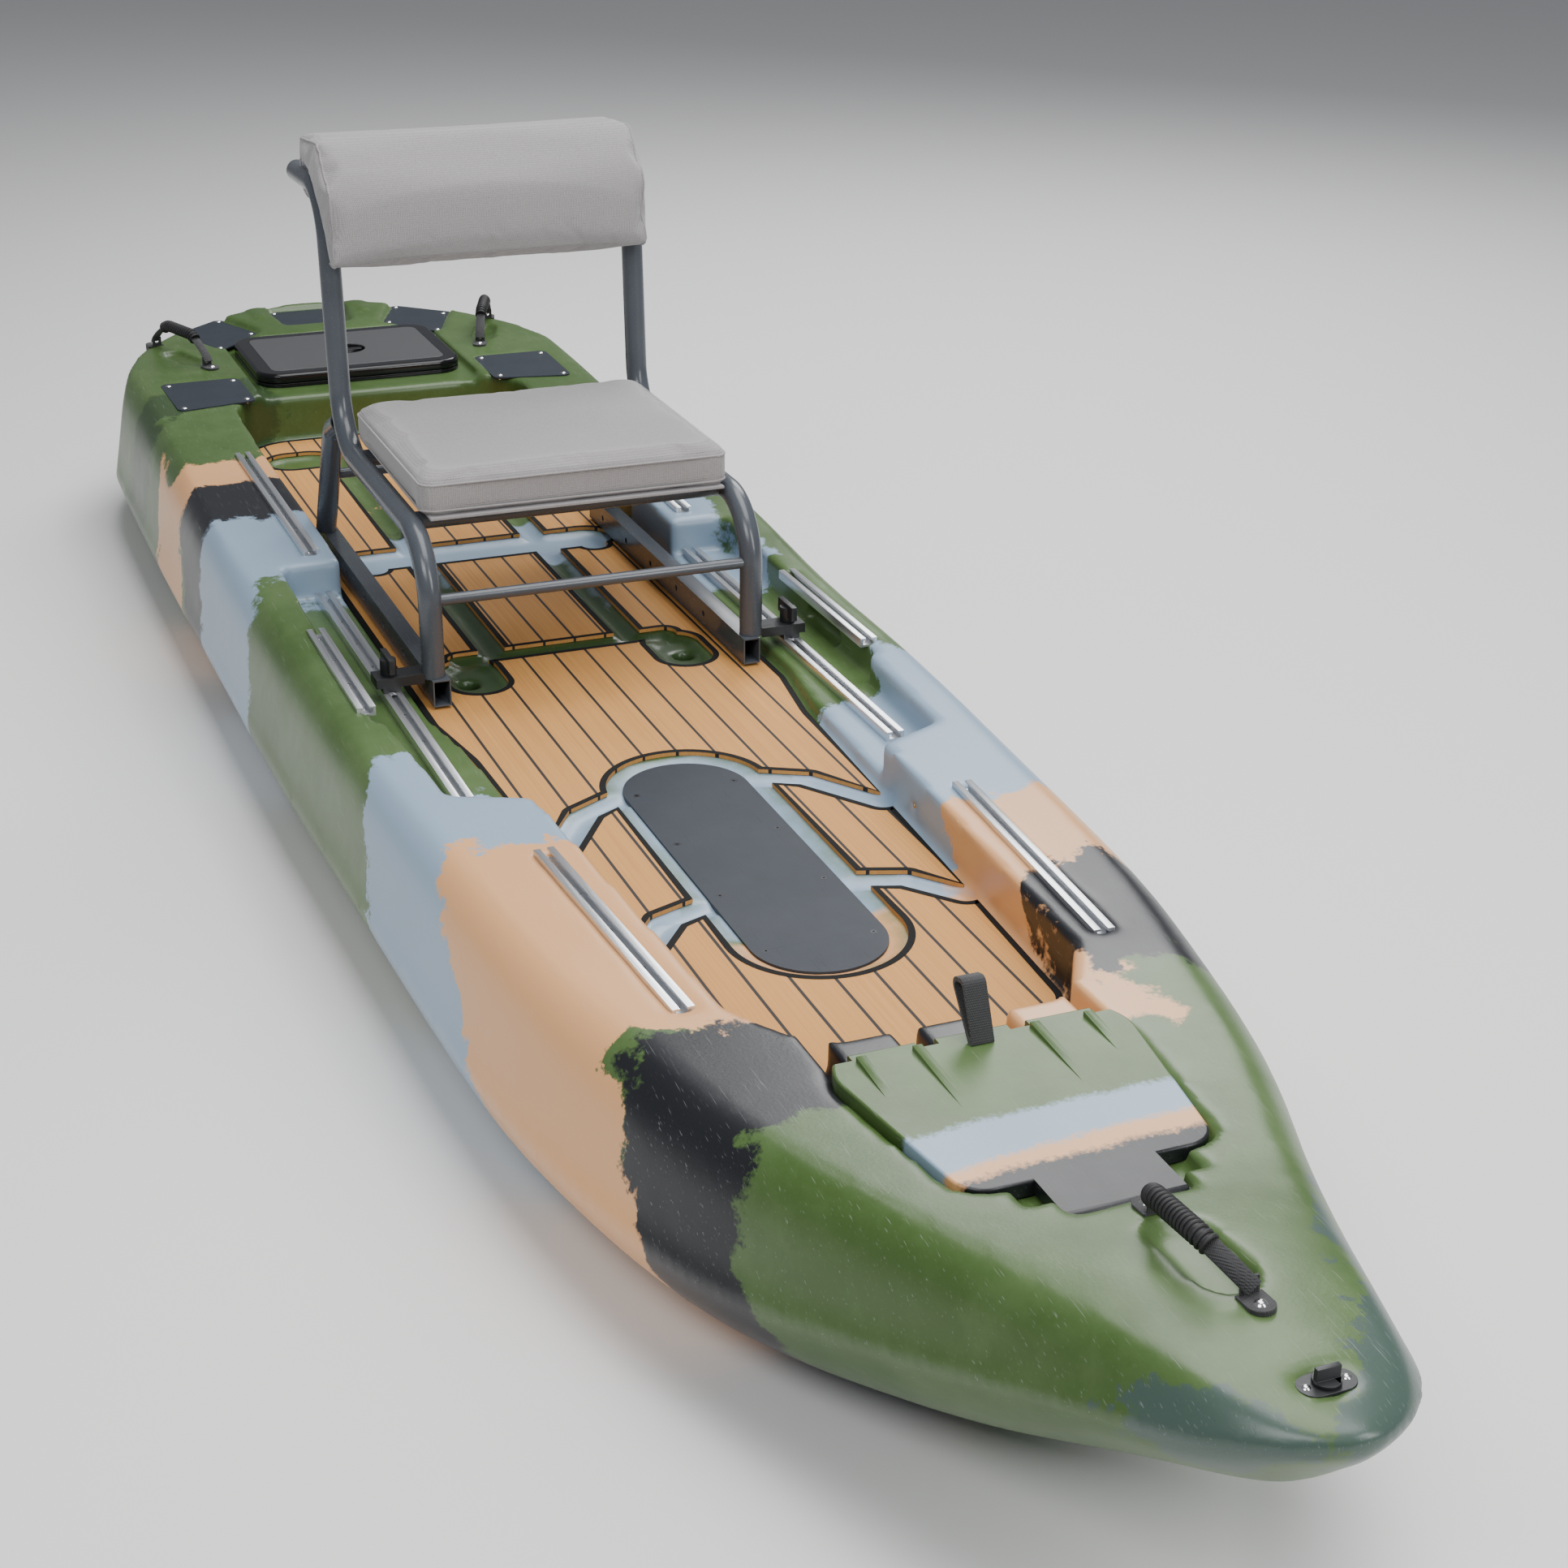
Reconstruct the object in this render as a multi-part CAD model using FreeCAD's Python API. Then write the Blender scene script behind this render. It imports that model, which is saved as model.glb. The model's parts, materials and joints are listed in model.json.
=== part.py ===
"""Sit-on-top fishing kayak with a sliding chair, hatches, gear tracks and deck pads.

Row frame in millimetres: +X forward, +Y to port, +Z up. The origin is below the
middle of the hull, on the surface that its keel strips stand on.
"""
import FreeCAD, Part
import math
import os

V = FreeCAD.Vector
UP = V(0, 0, 1)

# ---------------------------------------------------------------- driving sizes
HULL_LENGTH = 3810.0
WALL = 5.0                    # moulded wall of the hull
KEEL_STRIP = 8.0              # height of the keel strips that the hull stands on
FLOOR_Z = 190.0               # top of the cockpit floor
SKY = 420.0                   # above every deck surface, where deck cuts start
BOW_TIP = HULL_LENGTH / 2
STERN_TIP = -HULL_LENGTH / 2

# Cross-sections of the hull, bow to stern: station, rim half-beam, rim height,
# deck half-width, deck edge height, crown height, bottom height, sharpness of the keel
SECTIONS = [
    (BOW_TIP, 10, 288, 5, 296, 297, 279, 1.0),
    (1893, 42, 285, 24, 297, 300, 262, 1.0),
    (1868, 74, 280, 44, 299, 303, 236, 1.0),
    (1820, 110, 264, 68, 301, 307, 190, 1.0),
    (1726, 151, 234, 96, 299, 308, 132, 1.0),
    (1632, 189, 203, 126, 290, 301, 80, 0.9),
    (1537, 228, 174, 162, 279, 286, 40, 0.7),
    (1443, 270, 150, 198, 272, 277, 20, 0.5),
    (1348, 312, 132, 234, 267, 271, 11, 0.3),
    (1159, 372, 118, 282, 263, 265, 8, 0.12),
    (970, 406, 115, 322, 261, 262, 8, 0.0),
    (700, 428, 115, 352, 258, 259, 8, 0.0),
    (350, 441, 115, 380, 257, 258, 8, 0.0),
    (0, 453, 115, 390, 257, 258, 8, 0.0),
    (-350, 457, 115, 402, 267, 268, 8, 0.0),
    (-750, 460, 115, 406, 270, 271, 8, 0.0),
    (-970, 460, 115, 398, 273, 274, 8, 0.0),
    (-1150, 459, 115, 394, 281, 283, 8, 0.0),
    (-1350, 456, 116, 396, 287, 289, 12, 0.0),
    (-1600, 453, 120, 398, 288, 290, 26, 0.0),
    (-1950, 450, 132, 398, 288, 290, 66, 0.0),
]
STERN_RIM = [(-1330, 462), (-1450, 450), (-1560, 427), (-1650, 392), (-1735, 335),
             (-1820, 246), (-1876, 134)]
STERN_DECK = [(-1310, 440), (-1420, 424), (-1525, 398), (-1620, 364), (-1708, 308),
              (-1796, 222), (-1852, 120)]
STERN_DECK_SET_IN = 20.0      # how far the deck's stern edge stops short of the tip
RIM_PLAN_Z = 116.0
DECK_PLAN_Z = 290.0

# cockpit well: half-plan from the stern end to the bow end
WELL_PLAN = [(-1285, 262), (100, 262), (228, 243), (1059, 200), (1165, 140)]
WELL_RADII = [105, 60, 200, 60, 40]

# side shelves that carry the long tracks
SHELF_Z = 211.0
SHELF_PLAN = [(-397, 240), (-397, 352), (185, 354), (205, 338), (446, 325), (490, 226)]
SHELF_RADII = [4, 16, 8, 8, 22, 4]
POCKET_REAR = -60.0
POCKET_FRONT = 62.0
POCKET_OUTER = 368.0
POCKET_Z = 224.0

# tracks: extruded aluminium channels with a T-slot
TRACK_WIDTH = 25.0
TRACK_HEIGHT = 13.0
TRACK_LIP = 2.5
TRACK_SLOT = 8.5
TRACK_CAVITY = 17.0
TRACK_GAP = 0.5
FORE_TRACK = (848.0, 253.5, 264.0, 406.0, -3.4)     # centre X, Y, top Z, length, turn
MID_TRACK = (8.0, 356.0, 262.0, 305.0, 0.0)
REAR_TRACK = (-702.0, 298.0, 276.0, 533.0, 0.0)
LONG_TRACK = (2.0, 292.0, 224.0, 786.0, 0.0)
TRACK_SCREW_RADIUS = 2.2
TRACK_SCREW_LENGTH = 5.0

# floor channels, scuppers and pads
GROOVE_DEPTH = 9.0
CHANNEL_Y = 103.0
CHANNEL_HALF = 14.0
FRONT_CROSS_X = -127.0
DISH_X = -58.0
DISH_Y = 153.0
DISH_HALF = 34.0
SCUPPER_FRONT = (-61.0, 160.0)
SCUPPER_REAR = (-538.0, 181.0)
SCUPPER_RADIUS = 15.0
REAR_CROSS_X = -582.0
REAR_CROSS_HALF = 40.0
REAR_CROSS_REACH = 178.0
REAR_BASIN_X = -1148.0
REAR_BASIN_Y = 166.0
REAR_BASIN_HALF = 40.0
ARC_FRONT = [(714, 84), (738, 150), (800, 199)]
ARC_REAR = [(396, 84), (432, 150), (530, 214)]
ARC_HALF = 14.0
PAD_THICK = 5.0
PAD_MARGIN = 7.0

# oval cover plate in the cockpit floor
COVER_X = 611.0
COVER_HALF = 82.0
COVER_HALF_LENGTH = 297.0
COVER_THICK = 6.0
COVER_GAP = 1.5
RING_WIDTH = 13.0
COVER_SCREW_X = (391.0, 542.0, 690.0, 836.0)
COVER_SCREW_Y = 66.0
COVER_SCREW_RADIUS = 4.0
COVER_WELL_DEPTH = 60.0

# bow deck: blocks, hatch lid and hinge
LID_REAR = 1214.0
LID_PLAN = [(LID_REAR, 148), (1247, 162), (1474, 128)]
LID_RADII = [10, 60, 34]
LID_GAP = 4.0
LID_TOP = 276.0
LID_THICK = 16.0
LID_SEAT = 3.0
LID_RIB_HEIGHT = 5.0
LID_RIB_Y = (46.0, 138.0)
NOTCH_Y = (50.0, 143.0)
NOTCH_HALF = 11.0
NOTCH_Z = 226.0
BLOCK_TOP = 264.0
TONGUE_HALF = 62.0
TONGUE_THICK = 14.0
CHEEK_GAP = 1.5
SIDE_RELIEF = 90.0
HINGE_X = 1529.0
HINGE_PIN_RADIUS = 4.0
HINGE_PIN_REACH = 12.0
HINGE_CLEAR = 0.06
RECESS_FRONT = 1545.0
BOW_HOLE = (1268.0, 1424.0, 92.0)
BIN_WALL = 3.0
BIN_DEPTH = 120.0
SEAL_WIDTH = 8.0

# drain plug near the bow tip
PLUG_X = 1842.0
PLUG_RADIUS = 9.0
PLUG_FLANGE_LENGTH = 52.0
PLUG_FLANGE_WIDTH = 28.0
PLUG_FLANGE_THICK = 4.0
PLUG_SCREW_Y = 18.5
PLUG_CLEAR = 0.3
PLUG_DEPTH = 16.0
PLUG_SEAT_Z = 299.0

# stern deck
STERN_SHELF_Z = 274.0
STERN_SHELF = (-1275.0, -1664.0, 204.0)
HATCH_FRONT = -1346.0
HATCH_REAR = -1640.0
HATCH_HALF = 190.0
HATCH_CORNER = 46.0
HATCH_FRAME_HEIGHT = 7.0
HATCH_FRAME_WIDTH = 34.0
HATCH_SEAL = 2.0
HATCH_LID_TOP = 299.0
HATCH_RIM_WIDTH = 27.0
HATCH_PANEL_THICK = 3.0
HATCH_SKIN = 5.0
LATCH_RADIUS = 36.0
SPINDLE_RADIUS = 5.0
HATCH_HINGE_X = -1650.0
HATCH_HINGE_Z = 286.0
STERN_BIN_DEPTH = 130.0
PLATE_THICK = 3.0
PLATE_CORNER = 14.0
PLATE_GAP = 1.0
PLATE_Z = 286.5
FRONT_PLATE = [(-1398, 364), (-1400, 222), (-1240, 220), (-1214, 360)]
REAR_PLATE = [(-1846, 176), (-1752, 276), (-1604, 216), (-1706, 118)]
CENTRE_PLATE = [(-1868, 78), (-1868, -78), (-1724, -66), (-1724, 66)]
RIVET_RADIUS = 3.0
RIVET_INSET = 20.0
STERN_RIB_Y = 104.0
SMALL_RIB_Y = 50.0

# carry handles
BOW_SPAN = 184.0
STERN_SPAN = 220.0
HANDLE_RISE = 40.0
GRIP_RADIUS = 11.0
STRAP_RADIUS = 4.0
GRIP_CLEAR = 0.2
TAB_LENGTH = 30.0
TAB_WIDTH = 26.0
TAB_THICK = 3.0
HANDLE_AXIS_UP = 11.0
BOW_HANDLE_REAR = 1562.0
BOW_HANDLE_Z = 290.0
BOW_HANDLE_PITCH = 5.6
BOW_HANDLE_LEAN = 38.0
STERN_HANDLE_FRONT = (-1470.0, 256.0)
STERN_HANDLE_TURN = 160.0
STERN_HANDLE_Z = 289.0
DIMPLE_DEPTH = 12.0

# threaded inserts in the cockpit walls
INSERT_X = (599.0, 940.0)
INSERT_Z = 218.0
INSERT_RADIUS = 6.0
INSERT_BORE = 3.0
INSERT_LENGTH = 16.0

# chair
CHAIR_HALF = 232.0
RAIL_HALF = 226.0
TUBE_RADIUS = 16.0
TUBE_WALL = 1.8
SEAT_RAIL_Z = 426.0
RAIL_Z = 199.0
FRONT_LEG_X = 25.0
FRONT_BEND = 90.0
POST_X = -468.0
POST_BEND = 90.0
POST_TILT = 18.0
POST_TOP_Z = 800.0
TOP_BEND = 78.0
TOP_END = (-668.0, 794.0)
REAR_LEG_FOOT_X = -636.0
REAR_LEG_TOP = (-520.0, 408.0)
BASE_RAIL_WIDTH = 25.0
BASE_RAIL_HEIGHT = 38.0
BASE_RAIL_WALL = 2.0
BASE_RAIL_REAR = -662.0
BASE_RAIL_FRONT = 46.0
BASE_RAIL_HOLE = 4.5
LOWER_BAR_RADIUS = 8.0
LOWER_BAR_Z = 345.0
SEAT_BAR_X = (-76.0, -382.0)
FRONT_BAR_RADIUS = 12.5
REAR_BAR_RADIUS = 12.5
PAN_THICK = 4.0
CUSHION_HALF = 232.0
CUSHION_THICK = 50.0
CUSHION_FRONT = -22.0
CUSHION_REAR = -434.0
BACK_HALF = 241.0

# chair clamps
CLAMP_X = 16.0
CLAMP_ARM_HALF = 17.0
CLAMP_ARM_THICK = 14.0
CLAMP_BOLT_RADIUS = 3.5
KNOB_RADIUS = 11.0
KNOB_HEIGHT = 22.0
KNOB_WING = 26.0

os.makedirs("parts", exist_ok=True)


# ---------------------------------------------------------------- small helpers
def box(x0, x1, y0, y1, z0, z1):
    return Part.makeBox(x1 - x0, y1 - y0, z1 - z0, V(x0, y0, z0))


def cylinder(radius, height, base, axis=UP):
    return Part.makeCylinder(radius, height, base, axis)


def mirrored(shape):
    """The starboard copy of a port piece."""
    return shape.mirror(V(0, 0, 0), V(0, 1, 0))


def rounded(points, radius, z=0.0):
    """A closed outline whose corners are arcs of one radius, or of a list of radii."""
    count = len(points)
    radii = radius if isinstance(radius, (list, tuple)) else [radius] * count
    edges, ends = [], []
    for i, (x, y) in enumerate(points):
        here = V(x, y, z)
        before = V(*points[i - 1], z) - here
        after = V(*points[(i + 1) % count], z) - here
        half = before.getAngle(after) / 2
        reach = radii[i] / math.tan(half)
        before.normalize()
        after.normalize()
        middle = (before + after).normalize()
        start = here + before * reach
        end = here + after * reach
        top = here + middle * (radii[i] / math.sin(half) - radii[i])
        ends.append((start, top, end))
    for i, (start, top, end) in enumerate(ends):
        edges.append(Part.Arc(start, top, end).toShape())
        nxt = ends[(i + 1) % count][0]
        if (nxt - end).Length > 1e-6:
            edges.append(Part.LineSegment(end, nxt).toShape())
    return Part.Wire(edges)


def prism(wire, z0, z1):
    """The solid between two heights whose plan is the wire."""
    face = Part.Face(wire)
    face.translate(V(0, 0, z0 - face.BoundBox.ZMin))
    return face.extrude(V(0, 0, z1 - z0))


def grown(wire, by):
    return wire.makeOffset2D(by) if abs(by) > 1e-9 else wire


def capsule(a, b, half, z0, z1):
    """A round-ended slot between two plan points."""
    ax, ay = a
    bx, by = b
    turn = math.atan2(by - ay, bx - ax)
    nx, ny = -math.sin(turn) * half, math.cos(turn) * half
    cx, cy = math.cos(turn) * half, math.sin(turn) * half
    edges = [
        Part.LineSegment(V(ax + nx, ay + ny, z0), V(bx + nx, by + ny, z0)).toShape(),
        Part.Arc(V(bx + nx, by + ny, z0), V(bx + cx, by + cy, z0),
                 V(bx - nx, by - ny, z0)).toShape(),
        Part.LineSegment(V(bx - nx, by - ny, z0), V(ax - nx, ay - ny, z0)).toShape(),
        Part.Arc(V(ax - nx, ay - ny, z0), V(ax - cx, ay - cy, z0),
                 V(ax + nx, ay + ny, z0)).toShape(),
    ]
    return Part.Face(Part.Wire(edges)).extrude(V(0, 0, z1 - z0))


def tube(points, radius, bends, wall=0.0):
    """A round bar, or a tube if it has a wall, along straight runs joined by tangent arcs."""
    corners = [V(*p) for p in points]
    edges, at = [], corners[0]
    for i in range(1, len(corners) - 1):
        here = corners[i]
        before = (corners[i - 1] - here).normalize()
        after = (corners[i + 1] - here).normalize()
        half = before.getAngle(after) / 2
        reach = bends[i - 1] / math.tan(half)
        start, end = here + before * reach, here + after * reach
        middle = (before + after).normalize()
        top = here + middle * (bends[i - 1] / math.sin(half) - bends[i - 1])
        edges.append(Part.LineSegment(at, start).toShape())
        edges.append(Part.Arc(start, top, end).toShape())
        at = end
    edges.append(Part.LineSegment(at, corners[-1]).toShape())
    path = Part.Wire(edges)
    along = (corners[1] - corners[0]).normalize()

    def swept(r):
        ring = Part.Wire(Part.makeCircle(r, corners[0], along))
        return path.makePipeShell([ring], True, False)

    return swept(radius).cut(swept(radius - wall)) if wall else swept(radius)


def save(node, *shapes):
    solids = [s for shape in shapes for s in shape.Solids]
    body = solids[0] if len(solids) == 1 else Part.makeCompound(solids)
    body.exportStep(f"parts/{node}.step")
    print(node, len(solids), "solids", round(sum(s.Volume for s in solids) / 1000, 1), "cm3")


# ---------------------------------------------------------------- hull outside
def spline(points):
    curve = Part.BSplineCurve()
    curve.interpolate([V(*p) for p in points])
    return curve.toShape()


def section(station, inset):
    """One cross-section of the hull, moved inwards by the inset."""
    x, beam, rim, deck, edge, crown, bottom, vee = station
    b, t = beam - inset, deck - inset
    e, c, k = edge - inset, crown - inset, bottom + inset
    rise = rim - k
    flat = 1 - vee
    keel = [
        (b, rim),
        (b * (0.93 * flat + 0.80 * vee), k + rise * (0.45 * flat + 0.60 * vee)),
        (b * (0.74 * flat + 0.50 * vee), k + rise * (0.10 * flat + 0.30 * vee)),
        (b * (0.36 * flat + 0.24 * vee), k + rise * (0.01 * flat + 0.10 * vee)),
        (0, k),
    ]
    side = [
        (b, rim),
        (b - 0.30 * (b - t), rim + 0.45 * (e - rim)),
        (b - 0.63 * (b - t), rim + 0.86 * (e - rim)),
        (t, e),
    ]
    under = [(x, y, z) for y, z in keel] + [(x, -y, z) for y, z in keel[-2::-1]]
    port = [(x, y, z) for y, z in side]
    top = [(x, t, e), (x, t * 0.5, e + 0.75 * (c - e)), (x, 0, c),
           (x, -t * 0.5, e + 0.75 * (c - e)), (x, -t, e)]
    starboard = [(x, -y, z) for y, z in reversed(side)]
    return Part.Wire([spline(port), spline(top), spline(starboard), spline(under)])


def stern_plan(points, tip, inset, z):
    """The rounded stern in plan, open towards the bow."""
    half = [(x + inset, y - inset) for x, y in points]
    curve = half + [(tip + inset, 0)] + [(x, -y) for x, y in reversed(half)]
    ahead = BOW_TIP + 100
    back = spline([(x, y, z) for x, y in curve])
    first, last = curve[0], curve[-1]
    side = HULL_LENGTH / 3
    corners = [V(last[0], last[1], z), V(last[0], -side, z), V(ahead, -side, z),
               V(ahead, side, z), V(first[0], side, z), V(first[0], first[1], z)]
    lines = [Part.LineSegment(a, c).toShape() for a, c in zip(corners, corners[1:])]
    return Part.Wire([back] + lines)


def hull_form(inset, stations):
    loft = Part.makeLoft([section(s, inset) for s in stations], True, False)
    share = DECK_PLAN_Z - RIM_PLAN_Z

    def at(z):
        u = (z - RIM_PLAN_Z) / share
        tip = STERN_TIP + STERN_DECK_SET_IN * u
        plan = [(rx + (dx - rx) * u, ry + (dy - ry) * u)
                for (rx, ry), (dx, dy) in zip(STERN_RIM, STERN_DECK)]
        return stern_plan(plan, tip, inset, z)

    return loft.common(Part.makeLoft([at(-50.0), at(SKY)], True, True))


# ---------------------------------------------------------------- deck cuts
def both(points):
    """A closed plan from its port half, mirrored to starboard."""
    return points + [(x, -y) for x, y in reversed(points)]


def recess(plan, radii, floor, grow=0.0, top=SKY):
    """A pocket in the deck, or with grow the same pocket as the hull's inside sees it."""
    return prism(grown(rounded(plan, radii), grow), floor - grow, top)


def well(grow):
    radii = WELL_RADII + WELL_RADII[::-1]
    return recess(both(WELL_PLAN), radii, FLOOR_Z, grow)


def shelves(grow):
    port = recess(SHELF_PLAN, SHELF_RADII, SHELF_Z, grow)
    pocket = box(POCKET_REAR - grow, POCKET_FRONT + grow, 300, POCKET_OUTER + grow,
                 SHELF_Z - grow, POCKET_Z + 12 + grow)
    port = port.fuse(pocket)
    return [port, mirrored(port)]


def long_channel(x0, x1, y, half, grow, depth=GROOVE_DEPTH):
    return capsule((x0, y), (x1, y), half + grow, FLOOR_Z - depth - grow, FLOOR_Z + 20)


def bent_groove(points, half, grow):
    low, high = FLOOR_Z - GROOVE_DEPTH - grow, FLOOR_Z + 20
    first = capsule(points[0], points[1], half + grow, low, high)
    return first.fuse(capsule(points[1], points[2], half + grow, low, high))


def floor_grooves(grow):
    cuts = []
    for side in (1, -1):
        cuts.append(long_channel(REAR_BASIN_X, FRONT_CROSS_X, side * CHANNEL_Y, CHANNEL_HALF, grow))
        cuts.append(capsule((DISH_X - 28, side * DISH_Y), (DISH_X + 28, side * DISH_Y),
                            DISH_HALF + grow, FLOOR_Z - GROOVE_DEPTH - grow, FLOOR_Z + 20))
        cuts.append(capsule((REAR_BASIN_X, side * (REAR_BASIN_Y - 14)),
                            (REAR_BASIN_X, side * (REAR_BASIN_Y + 14)),
                            REAR_BASIN_HALF + grow, FLOOR_Z - GROOVE_DEPTH - grow, FLOOR_Z + 20))
        for arc in (ARC_FRONT, ARC_REAR):
            points = [(x, side * y) for x, y in arc]
            cuts.append(bent_groove(points, ARC_HALF, grow))
    cuts.append(capsule((FRONT_CROSS_X, -DISH_Y), (FRONT_CROSS_X, DISH_Y), CHANNEL_HALF + grow,
                        FLOOR_Z - GROOVE_DEPTH - grow, FLOOR_Z + 20))
    cuts.append(capsule((REAR_CROSS_X, -REAR_CROSS_REACH), (REAR_CROSS_X, REAR_CROSS_REACH),
                        REAR_CROSS_HALF + grow, FLOOR_Z - GROOVE_DEPTH - grow, FLOOR_Z + 20))
    return cuts


def scuppers(grow):
    cuts = []
    for x, y in (SCUPPER_FRONT, SCUPPER_REAR):
        for side in (1, -1):
            cuts.append(cylinder(SCUPPER_RADIUS + grow, SKY, V(x, side * y, -60)))
    return cuts


def cover_recess(grow):
    reach = COVER_HALF_LENGTH - COVER_HALF
    ends = (COVER_X - reach, 0), (COVER_X + reach, 0)
    ring = capsule(*ends, COVER_HALF + COVER_GAP + RING_WIDTH + grow,
                   FLOOR_Z - 4 - grow, FLOOR_Z + 20)
    seat = capsule(*ends, COVER_HALF + COVER_GAP + grow,
                   FLOOR_Z - 2 - COVER_THICK - grow, FLOOR_Z)
    half = COVER_HALF - 34
    deep = capsule((COVER_X - reach, 0), (COVER_X + reach, 0), half + grow,
                   FLOOR_Z - COVER_WELL_DEPTH - grow, FLOOR_Z)
    return [ring, seat, deep]


def track_frame(track, side):
    x, y, top, length, turn = track
    return x, side * y, top, length, side * turn


def track_recess(track, side, grow):
    x, y, top, length, turn = track_frame(track, side)
    g = TRACK_GAP + grow
    cut = box(-length / 2 - g, length / 2 + g, -TRACK_WIDTH / 2 - g, TRACK_WIDTH / 2 + g,
              top - TRACK_HEIGHT - grow, SKY)
    cut.rotate(V(0, 0, 0), UP, turn)
    cut.translate(V(x, y, 0))
    return cut


def lid_recess(grow):
    floor = LID_TOP - LID_THICK - LID_SEAT
    plan = both(LID_PLAN)
    main = prism(grown(rounded(plan, LID_RADII + LID_RADII[::-1]), LID_GAP + grow),
                 floor - grow, SKY)
    z = LID_TOP - TONGUE_THICK - LID_SEAT
    relief = box(LID_PLAN[-1][0] - 60, HINGE_X - 14 + grow, -SIDE_RELIEF - grow,
                 SIDE_RELIEF + grow, z - grow, SKY)
    slot = TONGUE_HALF + CHEEK_GAP + grow
    tongue = box(LID_PLAN[-1][0] - 60, RECESS_FRONT + grow, -slot, slot, z - grow, SKY)
    reach = TONGUE_HALF + CHEEK_GAP + HINGE_PIN_REACH + grow
    pin = cylinder(HINGE_PIN_RADIUS + grow, 2 * reach,
                   V(HINGE_X, -reach, LID_TOP - TONGUE_THICK / 2), V(0, 1, 0))
    x0, x1, half = BOW_HOLE
    hole = box(x0 - grow, x1 + grow, -half - grow, half + grow, floor - 40, SKY)
    return [main, relief, tongue, pin] + ([hole] if grow == 0 else [])


def notches(grow):
    """Slots that part the blocks between the cockpit and the bow hatch."""
    front = WELL_PLAN[-1][0]
    cuts = []
    for y in NOTCH_Y:
        for side in (1, -1):
            half = NOTCH_HALF + grow
            cuts.append(box(front - 50, LID_REAR + 20 + grow, side * y - half, side * y + half,
                            NOTCH_Z - grow, SKY))
    cuts.append(box(front - 20, LID_REAR + 20 + grow, -NOTCH_Y[1] - grow, NOTCH_Y[1] + grow,
                    BLOCK_TOP - grow, SKY))
    return cuts


def plug_recess(grow):
    half = PLUG_FLANGE_WIDTH / 2 + 1.5
    reach = PLUG_FLANGE_LENGTH / 2 + 1.5 - half
    seat = capsule((PLUG_X, -reach), (PLUG_X, reach), half + grow, PLUG_SEAT_Z - grow, SKY)
    bore = cylinder(PLUG_RADIUS + 3 + grow, 60, V(PLUG_X, 0, PLUG_SEAT_Z - PLUG_DEPTH - grow))
    return [seat, bore]


def stern_shelf(grow):
    x1, x0, half = STERN_SHELF
    plan = [(x0, -half), (x1, -half), (x1, half), (x0, half)]
    main = recess(plan, [40, 12, 12, 40], STERN_SHELF_Z, grow)
    inner = hatch_plan(HATCH_FRAME_WIDTH - 4)
    hole = prism(inner, STERN_SHELF_Z - 40, SKY)
    return [main] + ([hole] if grow == 0 else [])


def hatch_plan(inset):
    plan = [(HATCH_REAR + inset, -HATCH_HALF + inset), (HATCH_FRONT - inset, -HATCH_HALF + inset),
            (HATCH_FRONT - inset, HATCH_HALF - inset), (HATCH_REAR + inset, HATCH_HALF - inset)]
    return rounded(plan, max(HATCH_CORNER - inset, 6))


def plate_plans():
    plans = {"port_front": FRONT_PLATE, "port_rear": REAR_PLATE, "centre": CENTRE_PLATE}
    for name in ("front", "rear"):
        plans["starboard_" + name] = [(x, -y) for x, y in reversed(plans["port_" + name])]
    return plans


def plate_recesses(grow):
    return [prism(grown(rounded(plan, PLATE_CORNER), PLATE_GAP + grow),
                  PLATE_Z - PLATE_THICK - grow, SKY) for plan in plate_plans().values()]


def insert_pockets(grow):
    cuts = []
    for x in INSERT_X:
        for side in (1, -1):
            y = side * insert_plane(x)
            out = V(0, side, 0)
            face = cylinder(INSERT_RADIUS + 3 + grow, 30 + grow, V(x, y - side * 30, INSERT_Z), out)
            body = cylinder(INSERT_RADIUS + grow, INSERT_LENGTH + 8 + grow,
                            V(x, y - side * 8, INSERT_Z), out)
            cuts += [face, body]
    return cuts


def insert_plane(x):
    (x0, y0), (x1, y1) = WELL_PLAN[2], WELL_PLAN[3]
    return y0 + (y1 - y0) * (x - x0) / (x1 - x0) + 2.0


def dimple(x, y, z, long_half, wide, turn, grow):
    """A finger dish below a handle."""
    cut = capsule((-long_half, 0), (long_half, 0), wide + grow, z - DIMPLE_DEPTH - grow, SKY)
    cut.rotate(V(0, 0, 0), UP, turn)
    cut.translate(V(x, y, 0))
    return cut


def dimples(grow):
    fx, fy = STERN_HANDLE_FRONT
    turn = math.radians(STERN_HANDLE_TURN)
    x = fx + math.cos(turn) * STERN_SPAN / 2
    y = fy + math.sin(turn) * STERN_SPAN / 2
    port = dimple(x, y, STERN_HANDLE_Z, 34, 20, STERN_HANDLE_TURN, grow)
    bow = dimple(BOW_HANDLE_REAR + BOW_SPAN / 2, 0, BOW_HANDLE_Z + 6, 40, 26, 0, grow)
    return [port, mirrored(port), bow]


def all_cuts(grow):
    cuts = [well(grow)] + shelves(grow) + floor_grooves(grow) + scuppers(grow)
    cuts += cover_recess(grow) + lid_recess(grow) + notches(grow) + plug_recess(grow)
    cuts += stern_shelf(grow) + plate_recesses(grow) + insert_pockets(grow) + dimples(grow)
    for track in (FORE_TRACK, MID_TRACK, REAR_TRACK):
        cuts += [track_recess(track, side, grow) for side in (1, -1)]
    return cuts


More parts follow.
